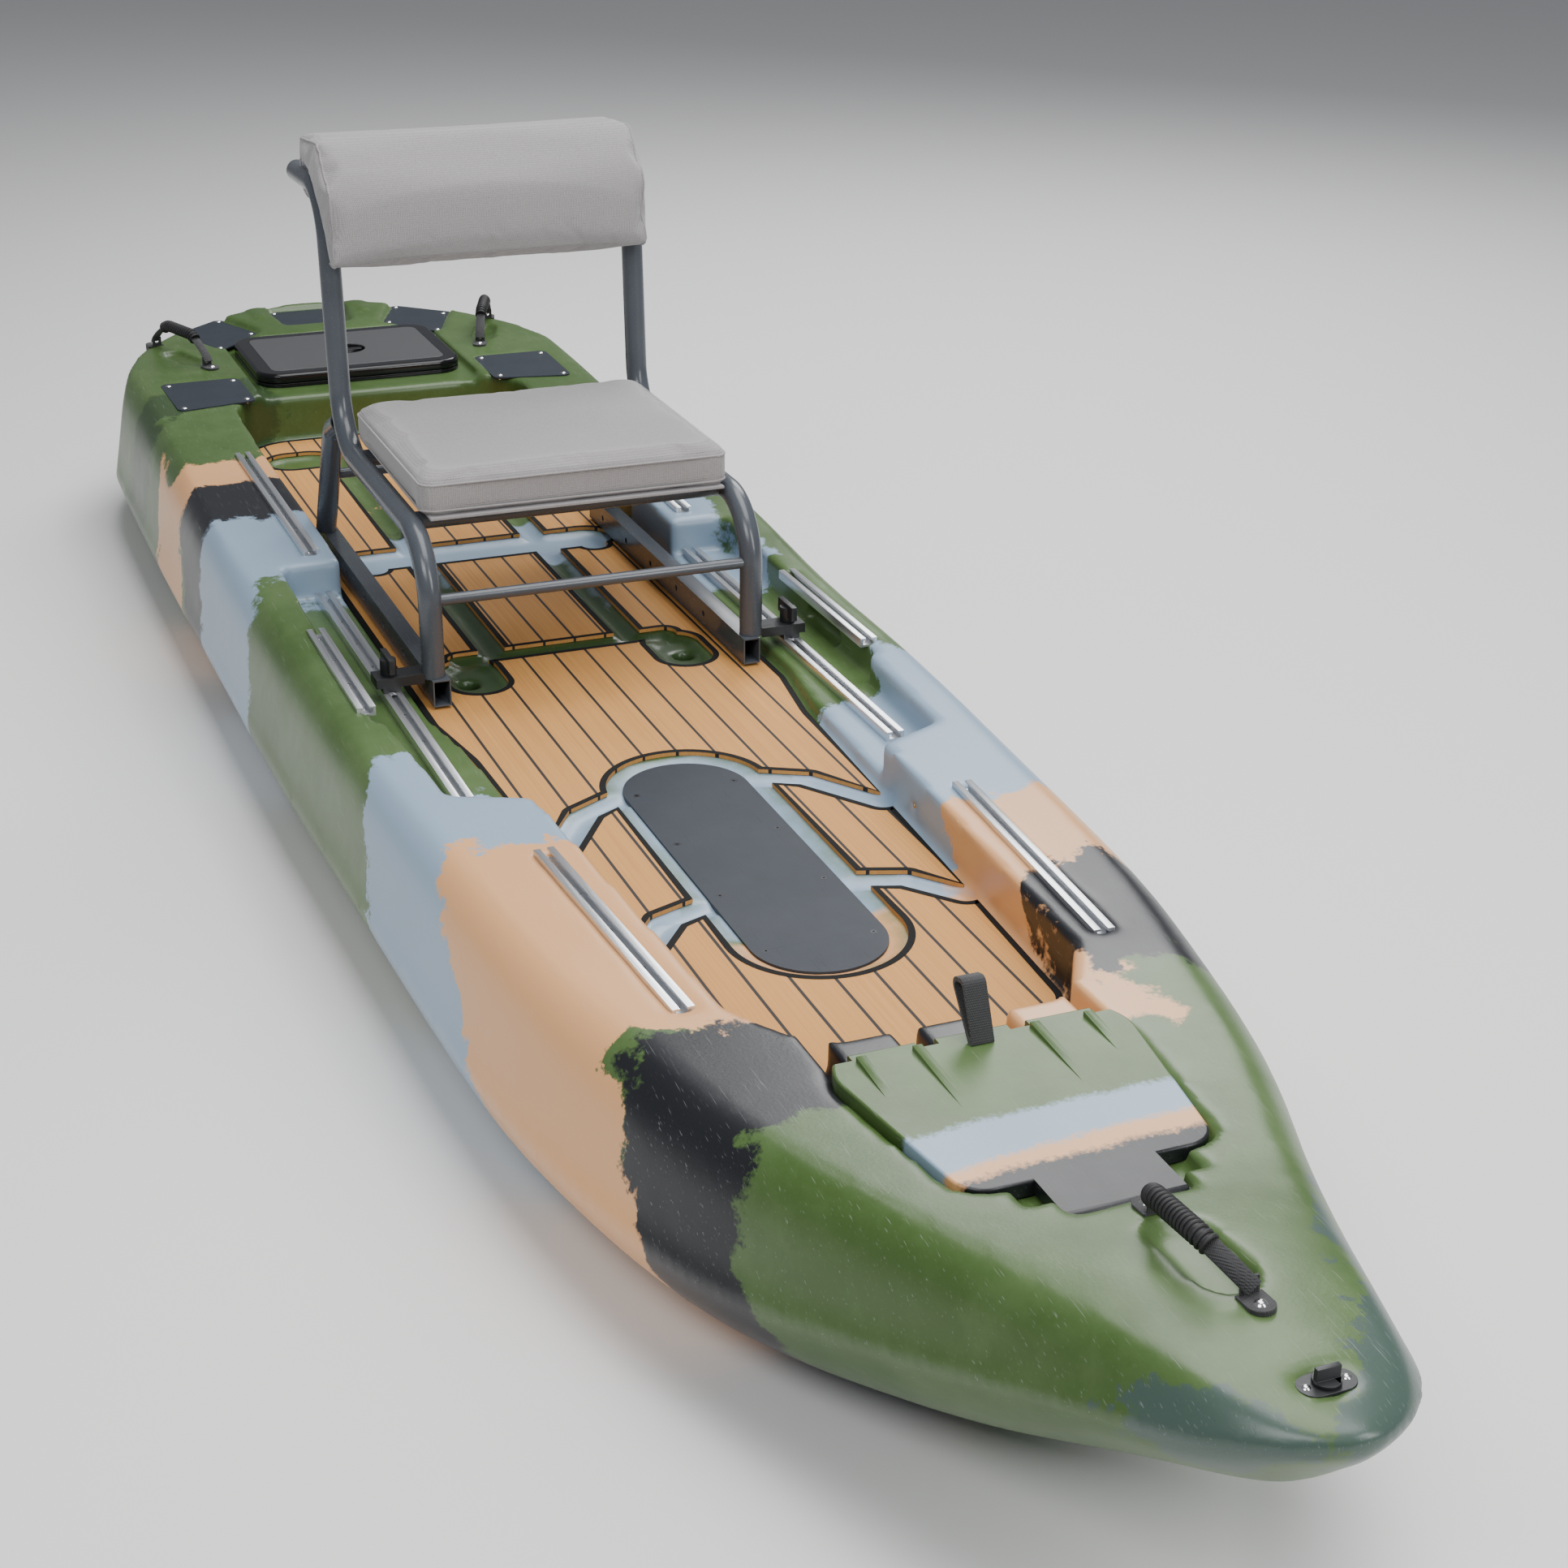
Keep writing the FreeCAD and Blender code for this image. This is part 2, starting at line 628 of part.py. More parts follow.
def stern_ribs():
    ribs = []
    for side in (1, -1):
        y = side * STERN_RIB_Y
        plan = [(-1852, y - 13), (-1776, y - 6), (-1776, y + 6), (-1852, y + 13)]
        ribs.append(prism(rounded(plan, 4), DECK_PLAN_Z - 20, DECK_PLAN_Z + 14))
        y = side * SMALL_RIB_Y
        ribs.append(box(STERN_SHELF[0] - 64, STERN_SHELF[0] - 8, y - 5, y + 5,
                        STERN_SHELF_Z - 3, STERN_SHELF_Z + 6))
    return ribs


def keel_strips():
    strips = []
    for y in (-190.0, 0.0, 190.0):
        strips.append(box(-1150, 1000, y - 22, y + 22, 0.0, KEEL_STRIP + WALL))
    return strips


def hull():
    outside = hull_form(0.0, SECTIONS)
    outside = outside.fuse(stern_ribs() + keel_strips())
    outside = outside.cut(all_cuts(0.0))
    inside = hull_form(WALL, [s for s in SECTIONS if s[0] < 1850])
    inside = inside.cut(all_cuts(WALL))
    shell = outside.cut(inside)
    return max(shell.Solids, key=lambda s: s.Volume)


# ---------------------------------------------------------------- deck hardware
def tracks():
    """Name to aluminium channel, and every screw that holds one down."""
    rails, screws = {}, []
    for name, track in (("fore", FORE_TRACK), ("mid", MID_TRACK), ("rear", REAR_TRACK),
                        ("seat", LONG_TRACK)):
        for side, word in ((1, "port"), (-1, "starboard")):
            x, y, top, length, turn = track_frame(track, side)
            low, half = -TRACK_HEIGHT, TRACK_WIDTH / 2
            web = low + 3.5
            rail = box(-length / 2, length / 2, -half, half, low, 0)
            rail = rail.cut(box(-length, length, -TRACK_SLOT / 2, TRACK_SLOT / 2, web, 10))
            rail = rail.cut(box(-length, length, -TRACK_CAVITY / 2, TRACK_CAVITY / 2,
                                web, -TRACK_LIP))
            count = max(4, round(length / 100) + 1)
            holes = []
            for i in range(count):
                at = -length / 2 + 18 + i * (length - 36) / (count - 1)
                holes.append(cylinder(TRACK_SCREW_RADIUS + 0.2, 10, V(at, 0, low - 2)))
                screw = cylinder(TRACK_SCREW_RADIUS, TRACK_SCREW_LENGTH + 3.5,
                                 V(at, 0, low - TRACK_SCREW_LENGTH))
                head = cylinder(3.7, 1.2, V(at, 0, web))
                screws.append(placed(screw.fuse(head).removeSplitter(), x, y, top, turn))
            rails[f"track_{name}_{word}"] = placed(rail.cut(holes), x, y, top, turn)
    return rails, screws


def placed(shape, x, y, z, turn):
    shape.rotate(V(0, 0, 0), UP, turn)
    shape.translate(V(x, y, z))
    return shape


def floor_pads():
    """Foam pads on the cockpit floor, from bow to stern."""
    radii = WELL_RADII + WELL_RADII[::-1]
    plan = grown(rounded(both(WELL_PLAN), radii), -PAD_MARGIN)
    sheet = prism(plan, FLOOR_Z, FLOOR_Z + PAD_THICK)
    reach = COVER_HALF_LENGTH - COVER_HALF
    ring = capsule((COVER_X - reach, 0), (COVER_X + reach, 0),
                   COVER_HALF + RING_WIDTH + COVER_GAP + PAD_MARGIN, FLOOR_Z - 9, FLOOR_Z + 20)
    gap = box(REAR_CROSS_X - 3, REAR_CROSS_X + 3, -400, 400, FLOOR_Z - 1, FLOOR_Z + 20)
    front = box(WELL_PLAN[-1][0] - 16, 2000, -400, 400, FLOOR_Z - 1, FLOOR_Z + 20)
    sheet = sheet.cut(floor_grooves(PAD_MARGIN - 1) + scuppers(PAD_MARGIN) + [ring, gap, front])
    pads = {"pad_front": [], "pad_middle": [], "pad_rear": []}
    for piece in sheet.Solids:
        if piece.Volume < 4000:
            continue
        x = piece.CenterOfMass.x
        name = "pad_front" if x > 300 else "pad_middle" if x > FRONT_CROSS_X - 460 else "pad_rear"
        pads[name].append(piece)
    return pads


def cover():
    reach = COVER_HALF_LENGTH - COVER_HALF
    top = FLOOR_Z - 2
    plate = capsule((COVER_X - reach, 0), (COVER_X + reach, 0), COVER_HALF,
                    top - COVER_THICK, top)
    screws, holes = [], []
    for x in COVER_SCREW_X:
        for y in (COVER_SCREW_Y, -COVER_SCREW_Y):
            low = cylinder(2.2, COVER_THICK + 5, V(x, y, top - COVER_THICK - 4))
            head = Part.makeCone(2.2, COVER_SCREW_RADIUS, 2.6, V(x, y, top - 2.6))
            sink = Part.makeCone(2.3, COVER_SCREW_RADIUS + 0.1, 2.6, V(x, y, top - 2.6))
            low = low.common(box(x - 9, x + 9, y - 9, y + 9, 0, top))
            socket = box(x - 1.1, x + 1.1, y - 1.1, y + 1.1, top - 1.6, top + 1)
            screws.append(low.fuse(head).removeSplitter().cut(socket))
            holes += [cylinder(2.3, 30, V(x, y, top - 20)), sink]
    return plate.cut(holes), screws


def plates_and_rivets():
    plates, rivets = {}, []
    for name, plan in plate_plans().items():
        plate = prism(rounded(plan, PLATE_CORNER), PLATE_Z - PLATE_THICK, PLATE_Z)
        cx = sum(p[0] for p in plan) / 4
        cy = sum(p[1] for p in plan) / 4
        for x, y in plan:
            far = math.hypot(cx - x, cy - y)
            x += (cx - x) * RIVET_INSET / far
            y += (cy - y) * RIVET_INSET / far
            plate = plate.cut(cylinder(RIVET_RADIUS, 20, V(x, y, PLATE_Z - 10)))
            stem = cylinder(RIVET_RADIUS, PLATE_THICK + 5, V(x, y, PLATE_Z - PLATE_THICK - 5))
            dome = Part.makeSphere(6.5, V(x, y, PLATE_Z - 4.2))
            dome = dome.common(box(x - 9, x + 9, y - 9, y + 9, PLATE_Z, PLATE_Z + 9))
            rivets.append(stem.fuse(dome).removeSplitter())
        plates[name] = plate
    return plates, rivets


def ring(outer, inner, z0, z1):
    return prism(outer, z0, z1).cut(prism(inner, z0 - 1, z1 + 1))


def stern_hatch():
    nodes = {}
    z0 = STERN_SHELF_Z
    z1 = z0 + HATCH_FRAME_HEIGHT
    w = HATCH_FRAME_WIDTH
    frame = ring(hatch_plan(0), hatch_plan(w), z0, z1)
    frame = frame.fuse(ring(hatch_plan(w - 3.5), hatch_plan(w), z0 - 5, z0))
    lid_low = z1 + HATCH_SEAL
    lid = prism(hatch_plan(0), lid_low, HATCH_LID_TOP)
    rim = [e for e in lid.Edges if e.BoundBox.ZMin > HATCH_LID_TOP - 0.01]
    lid = lid.makeFillet(7.0, rim)
    floor = HATCH_LID_TOP - HATCH_PANEL_THICK
    lid = lid.cut(prism(hatch_plan(HATCH_RIM_WIDTH), floor, SKY))
    lid = lid.cut(prism(hatch_plan(w + 4), 0, floor - HATCH_SKIN))
    cx, cy = (HATCH_FRONT + HATCH_REAR) / 2, 0.0
    cup_low = lid_low + 1
    lid = lid.fuse(cylinder(LATCH_RADIUS + 4, floor - cup_low, V(cx, cy, cup_low)))
    dish = cup_low + 3.5
    lid = lid.cut(cylinder(LATCH_RADIUS, 40, V(cx, cy, dish)))
    lid = lid.cut(cylinder(SPINDLE_RADIUS + 0.05, 40, V(cx, cy, cup_low - 10)))
    ears, knuckles, pins = [], [], []
    for side in (1, -1):
        for y0, y1, into in ((86, 99, ears), (100, 130, knuckles), (131, 144, ears)):
            ya, yb = sorted((side * y0, side * y1))
            arm_low = z0 if into is ears else lid_low
            arm = box(HATCH_HINGE_X, HATCH_REAR + 8, ya, yb, arm_low,
                      z1 if into is ears else HATCH_HINGE_Z + 5)
            barrel = cylinder(6.0, yb - ya, V(HATCH_HINGE_X, ya, HATCH_HINGE_Z), V(0, 1, 0))
            if into is ears:
                post = box(HATCH_HINGE_X - 6, HATCH_REAR - 1.5, ya, yb, z0, HATCH_HINGE_Z)
                arm = arm.fuse(post)
            into.append(arm.fuse(barrel))
        ya = min(side * 86, side * 144)
        pins.append(cylinder(2.5, 58, V(HATCH_HINGE_X, ya, HATCH_HINGE_Z), V(0, 1, 0)))
    bores = [cylinder(2.55, 70, V(HATCH_HINGE_X, min(side * 80, side * 150), HATCH_HINGE_Z),
                      V(0, 1, 0)) for side in (1, -1)]
    nodes["stern_hatch_frame"] = frame.fuse(ears).cut(bores).removeSplitter()
    nodes["stern_hatch_lid"] = lid.fuse(knuckles).cut(bores).removeSplitter()
    nodes["stern_hatch_seal"] = ring(hatch_plan(10), hatch_plan(20), z1, lid_low)
    panel = prism(hatch_plan(HATCH_RIM_WIDTH + 0.5), floor, HATCH_LID_TOP + 0.5)
    nodes["stern_hatch_panel"] = panel.cut(cylinder(LATCH_RADIUS + 1, 40, V(cx, cy, floor - 5)))
    disc = cylinder(LATCH_RADIUS - 1.5, 2, V(cx, cy, dish + 0.3))
    bar = box(cx - 7, cx + 7, -LATCH_RADIUS + 5, LATCH_RADIUS - 5, dish + 2.3, HATCH_LID_TOP - 1)
    nodes["stern_latch_handle"] = disc.fuse(bar).removeSplitter().cut(
        cylinder(SPINDLE_RADIUS, 8, V(cx, cy, dish - 4)))
    spindle = cylinder(SPINDLE_RADIUS, dish + 4 - (z0 - 8), V(cx, cy, z0 - 8))
    cam = box(cx - 20, HATCH_FRONT - w - 2, -9, 9, z0 - 5, z0 - 1)
    nodes["stern_latch_cam"] = spindle.fuse(cam).removeSplitter()
    low = z0 - WALL
    nodes["stern_bin"] = bin_below(hatch_plan, 22, 38, low, STERN_BIN_DEPTH)
    nodes["stern_hatch_pins"] = pins
    return nodes


def bin_below(plan, flange, wall, top, depth):
    """A hatch liner that hangs from the underside of the deck."""
    rim = ring(plan(flange), plan(wall + BIN_WALL), top - BIN_WALL, top)
    side = ring(plan(wall), plan(wall + BIN_WALL), top - depth, top)
    base = prism(plan(wall), top - depth - BIN_WALL, top - depth)
    return rim.fuse([side, base]).removeSplitter()


def bow_hole_plan(inset):
    x0, x1, half = BOW_HOLE
    plan = [(x0 + inset, -half + inset), (x1 - inset, -half + inset),
            (x1 - inset, half - inset), (x0 + inset, half - inset)]
    return rounded(plan, max(6.0, 14 - inset))


def bow_hatch():
    nodes = {}
    low, top = LID_TOP - LID_THICK, LID_TOP
    radii = LID_RADII + LID_RADII[::-1]
    lid = prism(rounded(both(LID_PLAN), radii), low, top)
    rim = [e for e in lid.Edges if e.BoundBox.ZMin > top - 0.01]
    lid = lid.makeFillet(3.0, rim)
    middle = top - TONGUE_THICK / 2
    tongue = box(LID_PLAN[-1][0] - 20, HINGE_X, -TONGUE_HALF, TONGUE_HALF,
                 top - TONGUE_THICK, top)
    barrel = cylinder(TONGUE_THICK / 2, 2 * TONGUE_HALF, V(HINGE_X, -TONGUE_HALF, middle),
                      V(0, 1, 0))
    extra = [tongue, barrel]
    for y in LID_RIB_Y:
        for side in (1, -1):
            c = side * (y + 18)
            end = LID_REAR + (150 if y < 100 else 100)
            if y > 100:
                c = side * (y - 14)
            wedge = Part.Face(Part.makePolygon([
                V(LID_REAR + 14, c - 5, top - 1), V(end, c - 5, top - 1),
                V(LID_REAR + 14, c - 5, top + LID_RIB_HEIGHT), V(LID_REAR + 14, c - 5, top - 1)]))
            extra.append(wedge.extrude(V(0, 10, 0)))
    lid = lid.fuse(extra)
    for y in NOTCH_Y:
        for side in (1, -1):
            lid = lid.cut(box(LID_REAR - 20, LID_REAR + 12, side * y - NOTCH_HALF,
                              side * y + NOTCH_HALF, 0, SKY))
    pin_reach = TONGUE_HALF + CHEEK_GAP + HINGE_PIN_REACH
    lid = lid.cut(cylinder(HINGE_PIN_RADIUS + HINGE_CLEAR, 2 * pin_reach,
                           V(HINGE_X, -pin_reach, middle), V(0, 1, 0)))
    nodes["bow_lid"] = lid.removeSplitter()
    nodes["bow_hinge_pin"] = cylinder(HINGE_PIN_RADIUS, 2 * pin_reach,
                                      V(HINGE_X, -pin_reach, middle), V(0, 1, 0))
    floor = low - LID_SEAT
    out, inn = -26.0, -26.0 + SEAL_WIDTH
    nodes["bow_seal"] = ring(bow_hole_plan(out), bow_hole_plan(inn), floor, low)
    nodes["bow_bin"] = bin_below(bow_hole_plan, -10, 6, floor - WALL, BIN_DEPTH)
    x = LID_REAR + 26
    profile = [(x - 5, top), (x + 5, top), (x - 22, top + 62), (x - 50, top + 54)]
    loop = Part.Face(xz_outline(profile, [2, 2, 9, 9], -12.5)).extrude(V(0, 25, 0))
    eye = [(x - 3.2, top + 8), (x + 0.2, top + 8), (x - 24, top + 56), (x - 44, top + 51)]
    loop = loop.cut(Part.Face(xz_outline(eye, [1, 1, 6, 6], -14)).extrude(V(0, 28, 0)))
    nodes["bow_pull_strap"] = loop
    return nodes


def xz_outline(points, radii, y):
    """A rounded outline standing in the plane of one Y."""
    wire = rounded(points, radii)
    wire.rotate(V(0, 0, 0), V(1, 0, 0), 90)
    wire.translate(V(0, y, 0))
    return wire


def handle(span):
    """Strap, grip and two tabs, lying along X from the rear screw at the origin."""
    lug_x = TAB_LENGTH / 2 + 2.5
    a, b = lug_x, span - lug_x
    path = [(a - 7, 0, 0), (a + 14, 0, 0), (a + 34, 0, HANDLE_RISE),
            (b - 34, 0, HANDLE_RISE), (b - 14, 0, 0), (b + 7, 0, 0)]
    strap = tube(path, STRAP_RADIUS, [9, 16, 16, 9])
    middle = [(a + 40, 0, HANDLE_RISE), (b - 40, 0, HANDLE_RISE)]
    grip = tube(middle, GRIP_RADIUS, [], GRIP_RADIUS - STRAP_RADIUS - GRIP_CLEAR)
    tabs, screws, holes = [], [], []
    for x, lug in ((0.0, a), (span, b)):
        low, high = sorted((x, lug))
        tab = capsule((x, 0), (lug, 0), TAB_WIDTH / 2, -HANDLE_AXIS_UP - 9,
                      -HANDLE_AXIS_UP + TAB_THICK)
        tab = tab.common(box(x - 15 if x < lug else lug - 1.5, lug + 1.5 if x < lug else x + 15,
                             -20, 20, -40, 0))
        ear = box(lug - 1.5, lug + 1.5, -9, 9, -HANDLE_AXIS_UP, 8)
        hole = cylinder(STRAP_RADIUS + 0.1, 20, V(lug - 10, 0, 0), V(1, 0, 0))
        bore = cylinder(2.6, 40, V(x, 0, -30))
        tabs.append(tab.fuse(ear).removeSplitter().cut([hole, bore]))
        stem = cylinder(2.5, 12, V(x, 0, -HANDLE_AXIS_UP + TAB_THICK - 12))
        head = Part.makeSphere(7, V(x, 0, -HANDLE_AXIS_UP + TAB_THICK - 3.4))
        head = head.common(box(x - 9, x + 9, -9, 9, -HANDLE_AXIS_UP + TAB_THICK, 9))
        screws.append(stem.fuse(head).removeSplitter())
    return strap, grip, tabs, screws


def place_handle(shapes, x, y, z, turn, pitch, lean=0.0):
    for shape in shapes:
        if lean:
            shape.rotate(V(0, 0, 0), V(1, 0, 0), lean)
        shape.rotate(V(0, 0, 0), V(0, 1, 0), -pitch)
        shape.rotate(V(0, 0, 0), UP, turn)
        shape.translate(V(x, y, z + HANDLE_AXIS_UP))


def handles(hull_shape):
    nodes, tabs, screws = {}, [], []
    fx, fy = STERN_HANDLE_FRONT
    places = (("bow", BOW_SPAN, BOW_HANDLE_REAR, 0.0, BOW_HANDLE_Z, 0.0, BOW_HANDLE_PITCH,
               BOW_HANDLE_LEAN),
              ("port", STERN_SPAN, fx, fy, STERN_HANDLE_Z, STERN_HANDLE_TURN, 0.0, 0.0),
              ("starboard", STERN_SPAN, fx, -fy, STERN_HANDLE_Z, -STERN_HANDLE_TURN, 0.0, 0.0))
    for name, span, x, y, z, turn, pitch, lean in places:
        strap, grip, feet, bolts = handle(span)
        place_handle([strap, grip], x, y, z, turn, pitch, lean)
        place_handle(feet + bolts, x, y, z, turn, pitch)
        nodes[f"handle_strap_{name}"] = strap
        nodes[f"handle_grip_{name}"] = grip
        for foot in feet:
            cut = foot.cut(hull_shape) if hull_shape else foot
            tabs.append(max(cut.Solids, key=lambda s: s.Volume))
        screws += bolts
    nodes["handle_tabs"] = tabs
    return nodes, screws


def drain_plug():
    nodes, screws = {}, []
    z = PLUG_SEAT_Z
    top = z + PLUG_FLANGE_THICK
    half = PLUG_FLANGE_WIDTH / 2
    reach = PLUG_FLANGE_LENGTH / 2 - half
    flange = capsule((PLUG_X, -reach), (PLUG_X, reach), half, z, top)
    flange = flange.fuse(cylinder(PLUG_RADIUS + 3, PLUG_DEPTH, V(PLUG_X, 0, z - PLUG_DEPTH)))
    flange = flange.cut(cylinder(PLUG_RADIUS + PLUG_CLEAR, 80, V(PLUG_X, 0, z - 40)))
    for y in (PLUG_SCREW_Y, -PLUG_SCREW_Y):
        flange = flange.cut(cylinder(2.1, 30, V(PLUG_X, y, z - 10)))
        stem = cylinder(2.0, 9, V(PLUG_X, y, top - 9))
        dome = Part.makeSphere(5, V(PLUG_X, y, top - 3))
        dome = dome.common(box(PLUG_X - 9, PLUG_X + 9, y - 9, y + 9, top, top + 9))
        screws.append(stem.fuse(dome).removeSplitter())
    seal = cylinder(PLUG_RADIUS + 2.5, 1.2, V(PLUG_X, 0, top))
    seal = seal.cut(cylinder(PLUG_RADIUS + 0.3, 5, V(PLUG_X, 0, top - 1)))
    stem = cylinder(PLUG_RADIUS, PLUG_DEPTH + 2, V(PLUG_X, 0, top + 1.25 - PLUG_DEPTH))
    head = cylinder(PLUG_RADIUS + 3, 2.5, V(PLUG_X, 0, top + 1.25))
    fin = box(PLUG_X - 2.5, PLUG_X + 2.5, -11, 11, top + 3, top + 15)
    nodes["drain_flange"] = flange.removeSplitter()
    nodes["drain_seal"] = seal
    nodes["drain_plug"] = stem.fuse([head, fin]).removeSplitter()
    return nodes, screws


def wall_inserts():
    pieces = []
    for x in INSERT_X:
        for side in (1, -1):
            y = side * insert_plane(x)
            out = V(0, side, 0)
            body = cylinder(INSERT_RADIUS, INSERT_LENGTH, V(x, y, INSERT_Z), out)
            pieces.append(body.cut(cylinder(INSERT_BORE, INSERT_LENGTH - 2,
                                            V(x, y, INSERT_Z), out)))
    return pieces


# ---------------------------------------------------------------- chair
def chair_side(y, radius, wall):
    path = [(FRONT_LEG_X, y, RAIL_Z + BASE_RAIL_HEIGHT), (FRONT_LEG_X, y, SEAT_RAIL_Z),
            (POST_X + 8, y, SEAT_RAIL_Z), (POST_X - POST_TILT, y, POST_TOP_Z),
            (TOP_END[0], y, TOP_END[1])]
    return tube(path, radius, [FRONT_BEND, POST_BEND, TOP_BEND], wall)


def rear_leg(y, radius, wall):
    x, z = REAR_LEG_TOP
    foot = RAIL_Z + BASE_RAIL_HEIGHT
    slope = (x - 25 - REAR_LEG_FOOT_X) / (z - foot)
    path = [(REAR_LEG_FOOT_X - slope * 14, y, foot - 14),
            (REAR_LEG_FOOT_X + slope * (z + 22 - foot), y, z + 22), (POST_X - 4, y, z + 50)]
    below = box(REAR_LEG_FOOT_X - 60, REAR_LEG_FOOT_X + 60, y - 40, y + 40, foot - 60, foot)
    return tube(path, radius, [34], wall).cut(below)


def leg_x(z):
    x, top = REAR_LEG_TOP
    foot = RAIL_Z + BASE_RAIL_HEIGHT
    return REAR_LEG_FOOT_X + (x - 25 - REAR_LEG_FOOT_X) * (z - foot) / (top - foot)


def chair():
    nodes = {}
    y = CHAIR_HALF
    posts = {side: chair_side(side * y, TUBE_RADIUS, 0) for side in (1, -1)}
    legs_solid = {side: rear_leg(side * y, TUBE_RADIUS, 0).cut(posts[side]) for side in (1, -1)}
    nodes["chair_side_port"] = chair_side(y, TUBE_RADIUS, TUBE_WALL)
    nodes["chair_side_starboard"] = chair_side(-y, TUBE_RADIUS, TUBE_WALL)
    nodes["chair_rear_legs"] = [max(rear_leg(side * y, TUBE_RADIUS, TUBE_WALL)
                                    .cut(posts[side]).Solids, key=lambda s: s.Volume)
                                for side in (1, -1)]
    solid = list(posts.values()) + list(legs_solid.values())

    def across(x, z, radius):
        bar = cylinder(radius, 2 * y, V(x, -y, z), V(0, 1, 0)).cut(solid)
        return max(bar.Solids, key=lambda s: s.Volume)

    nodes["chair_seat_bars"] = [across(SEAT_BAR_X[0], SEAT_RAIL_Z, FRONT_BAR_RADIUS),
                                across(SEAT_BAR_X[1], SEAT_RAIL_Z, REAR_BAR_RADIUS)]
    nodes["chair_lower_bars"] = [across(FRONT_LEG_X, LOWER_BAR_Z, LOWER_BAR_RADIUS),
                                 across(leg_x(LOWER_BAR_Z), LOWER_BAR_Z, LOWER_BAR_RADIUS)]
    rails, feet, arms, bolts, knobs = [], [], [], [], {}
    for side in (1, -1):
        c, half = side * RAIL_HALF, BASE_RAIL_WIDTH / 2
        z0, z1, w = RAIL_Z, RAIL_Z + BASE_RAIL_HEIGHT, BASE_RAIL_WALL
        rail = box(BASE_RAIL_REAR, BASE_RAIL_FRONT, c - half, c + half, z0, z1)
        rail = rail.cut(box(BASE_RAIL_REAR - 1, BASE_RAIL_FRONT + 1, c - half + w, c + half - w,
                            z0 + w, z1 - w))
        for i in range(5):
            x = BASE_RAIL_REAR + 70 + i * 118
            rail = rail.cut(cylinder(BASE_RAIL_HOLE, 60, V(x, c - 30, z0 + 19), V(0, 1, 0)))
        rails.append(rail)
        for x in (BASE_RAIL_REAR + 24, BASE_RAIL_FRONT - 24):
            feet.append(cylinder(11, z0 - FLOOR_Z - PAD_THICK - 0.2,
                                 V(x, c, FLOOR_Z + PAD_THICK + 0.2)))
        ty = side * LONG_TRACK[1]
        low, high = sorted((c + side * half, ty + side * 21))
        arm_z = LONG_TRACK[2] + 7
        arm = box(CLAMP_X - CLAMP_ARM_HALF, CLAMP_X + CLAMP_ARM_HALF, low, high,
                  arm_z, arm_z + CLAMP_ARM_THICK)
        foot = box(CLAMP_X - CLAMP_ARM_HALF, CLAMP_X + CLAMP_ARM_HALF, ty - 12, ty + 12,
                   LONG_TRACK[2] + 0.5, arm_z)
        arm = arm.fuse(foot).removeSplitter()
        leg = cylinder(TUBE_RADIUS + 0.2, 60, V(FRONT_LEG_X, side * y, z0))
        arms.append(arm.cut([leg, cylinder(CLAMP_BOLT_RADIUS + 0.2, 60, V(CLAMP_X, ty, 200))]))
        web = LONG_TRACK[2] - TRACK_HEIGHT + 3.5
        head = box(CLAMP_X - 9, CLAMP_X + 9, ty - 7.8, ty + 7.8, web + 1.8,
                   LONG_TRACK[2] - TRACK_LIP - 0.4)
        top = arm_z + CLAMP_ARM_THICK
        stem = cylinder(CLAMP_BOLT_RADIUS, top + KNOB_HEIGHT - web - 6, V(CLAMP_X, ty, web + 2))
        bolts.append(head.fuse(stem).removeSplitter())
        hub = cylinder(KNOB_RADIUS, KNOB_HEIGHT, V(CLAMP_X, ty, top + 0.3))
        wing = box(CLAMP_X - KNOB_WING, CLAMP_X + KNOB_WING, ty - 4, ty + 4,
                   top + 8, top + KNOB_HEIGHT + 6)
        knob = hub.fuse(wing).removeSplitter()
        knob = knob.cut(cylinder(CLAMP_BOLT_RADIUS + 0.05, KNOB_HEIGHT - 1,
                                 V(CLAMP_X, ty, top - 1)))
        knobs[side] = knob
    nodes["chair_base_rails"] = rails
    nodes["chair_feet"] = feet
    nodes["clamp_arms"] = arms
    nodes["clamp_bolts"] = bolts
    nodes["clamp_knob_port"] = knobs[1]
    nodes["clamp_knob_starboard"] = knobs[-1]
    nodes["chair_end_caps"] = [cylinder(TUBE_RADIUS, 3, V(TOP_END[0] - 3, side * y, TOP_END[1]),
                                        V(1, 0, 0)).cut(posts[side]) for side in (1, -1)]
    top = SEAT_RAIL_Z + FRONT_BAR_RADIUS
    inner = y - TUBE_RADIUS - 4
    nodes["seat_pan"] = box(CUSHION_REAR + 4, CUSHION_FRONT - 6, -inner, inner,
                            top, top + PAN_THICK)
    base = top + PAN_THICK
    plan = [(CUSHION_REAR, -CUSHION_HALF), (CUSHION_FRONT, -CUSHION_HALF),
            (CUSHION_FRONT, CUSHION_HALF), (CUSHION_REAR, CUSHION_HALF)]
    cushion = prism(rounded(plan, 26), base, base + CUSHION_THICK)
    cushion = cushion.makeFillet(7, [e for e in cushion.Edges
                                     if e.BoundBox.ZMax - e.BoundBox.ZMin < 0.01])
    nodes["seat_cushion"] = cushion.cut(solid)
    profile = [(-424, 690), (-516, 690), (-530, 762), (-616, 768), (-620, 852), (-500, 864),
               (-430, 800)]
    back = Part.Face(xz_outline(profile, [10, 10, 24, 14, 18, 44, 40], BACK_HALF))
    back = back.extrude(V(0, -2 * BACK_HALF, 0))
    nodes["back_cushion"] = max(back.cut(solid).Solids, key=lambda s: s.Volume)
    return nodes


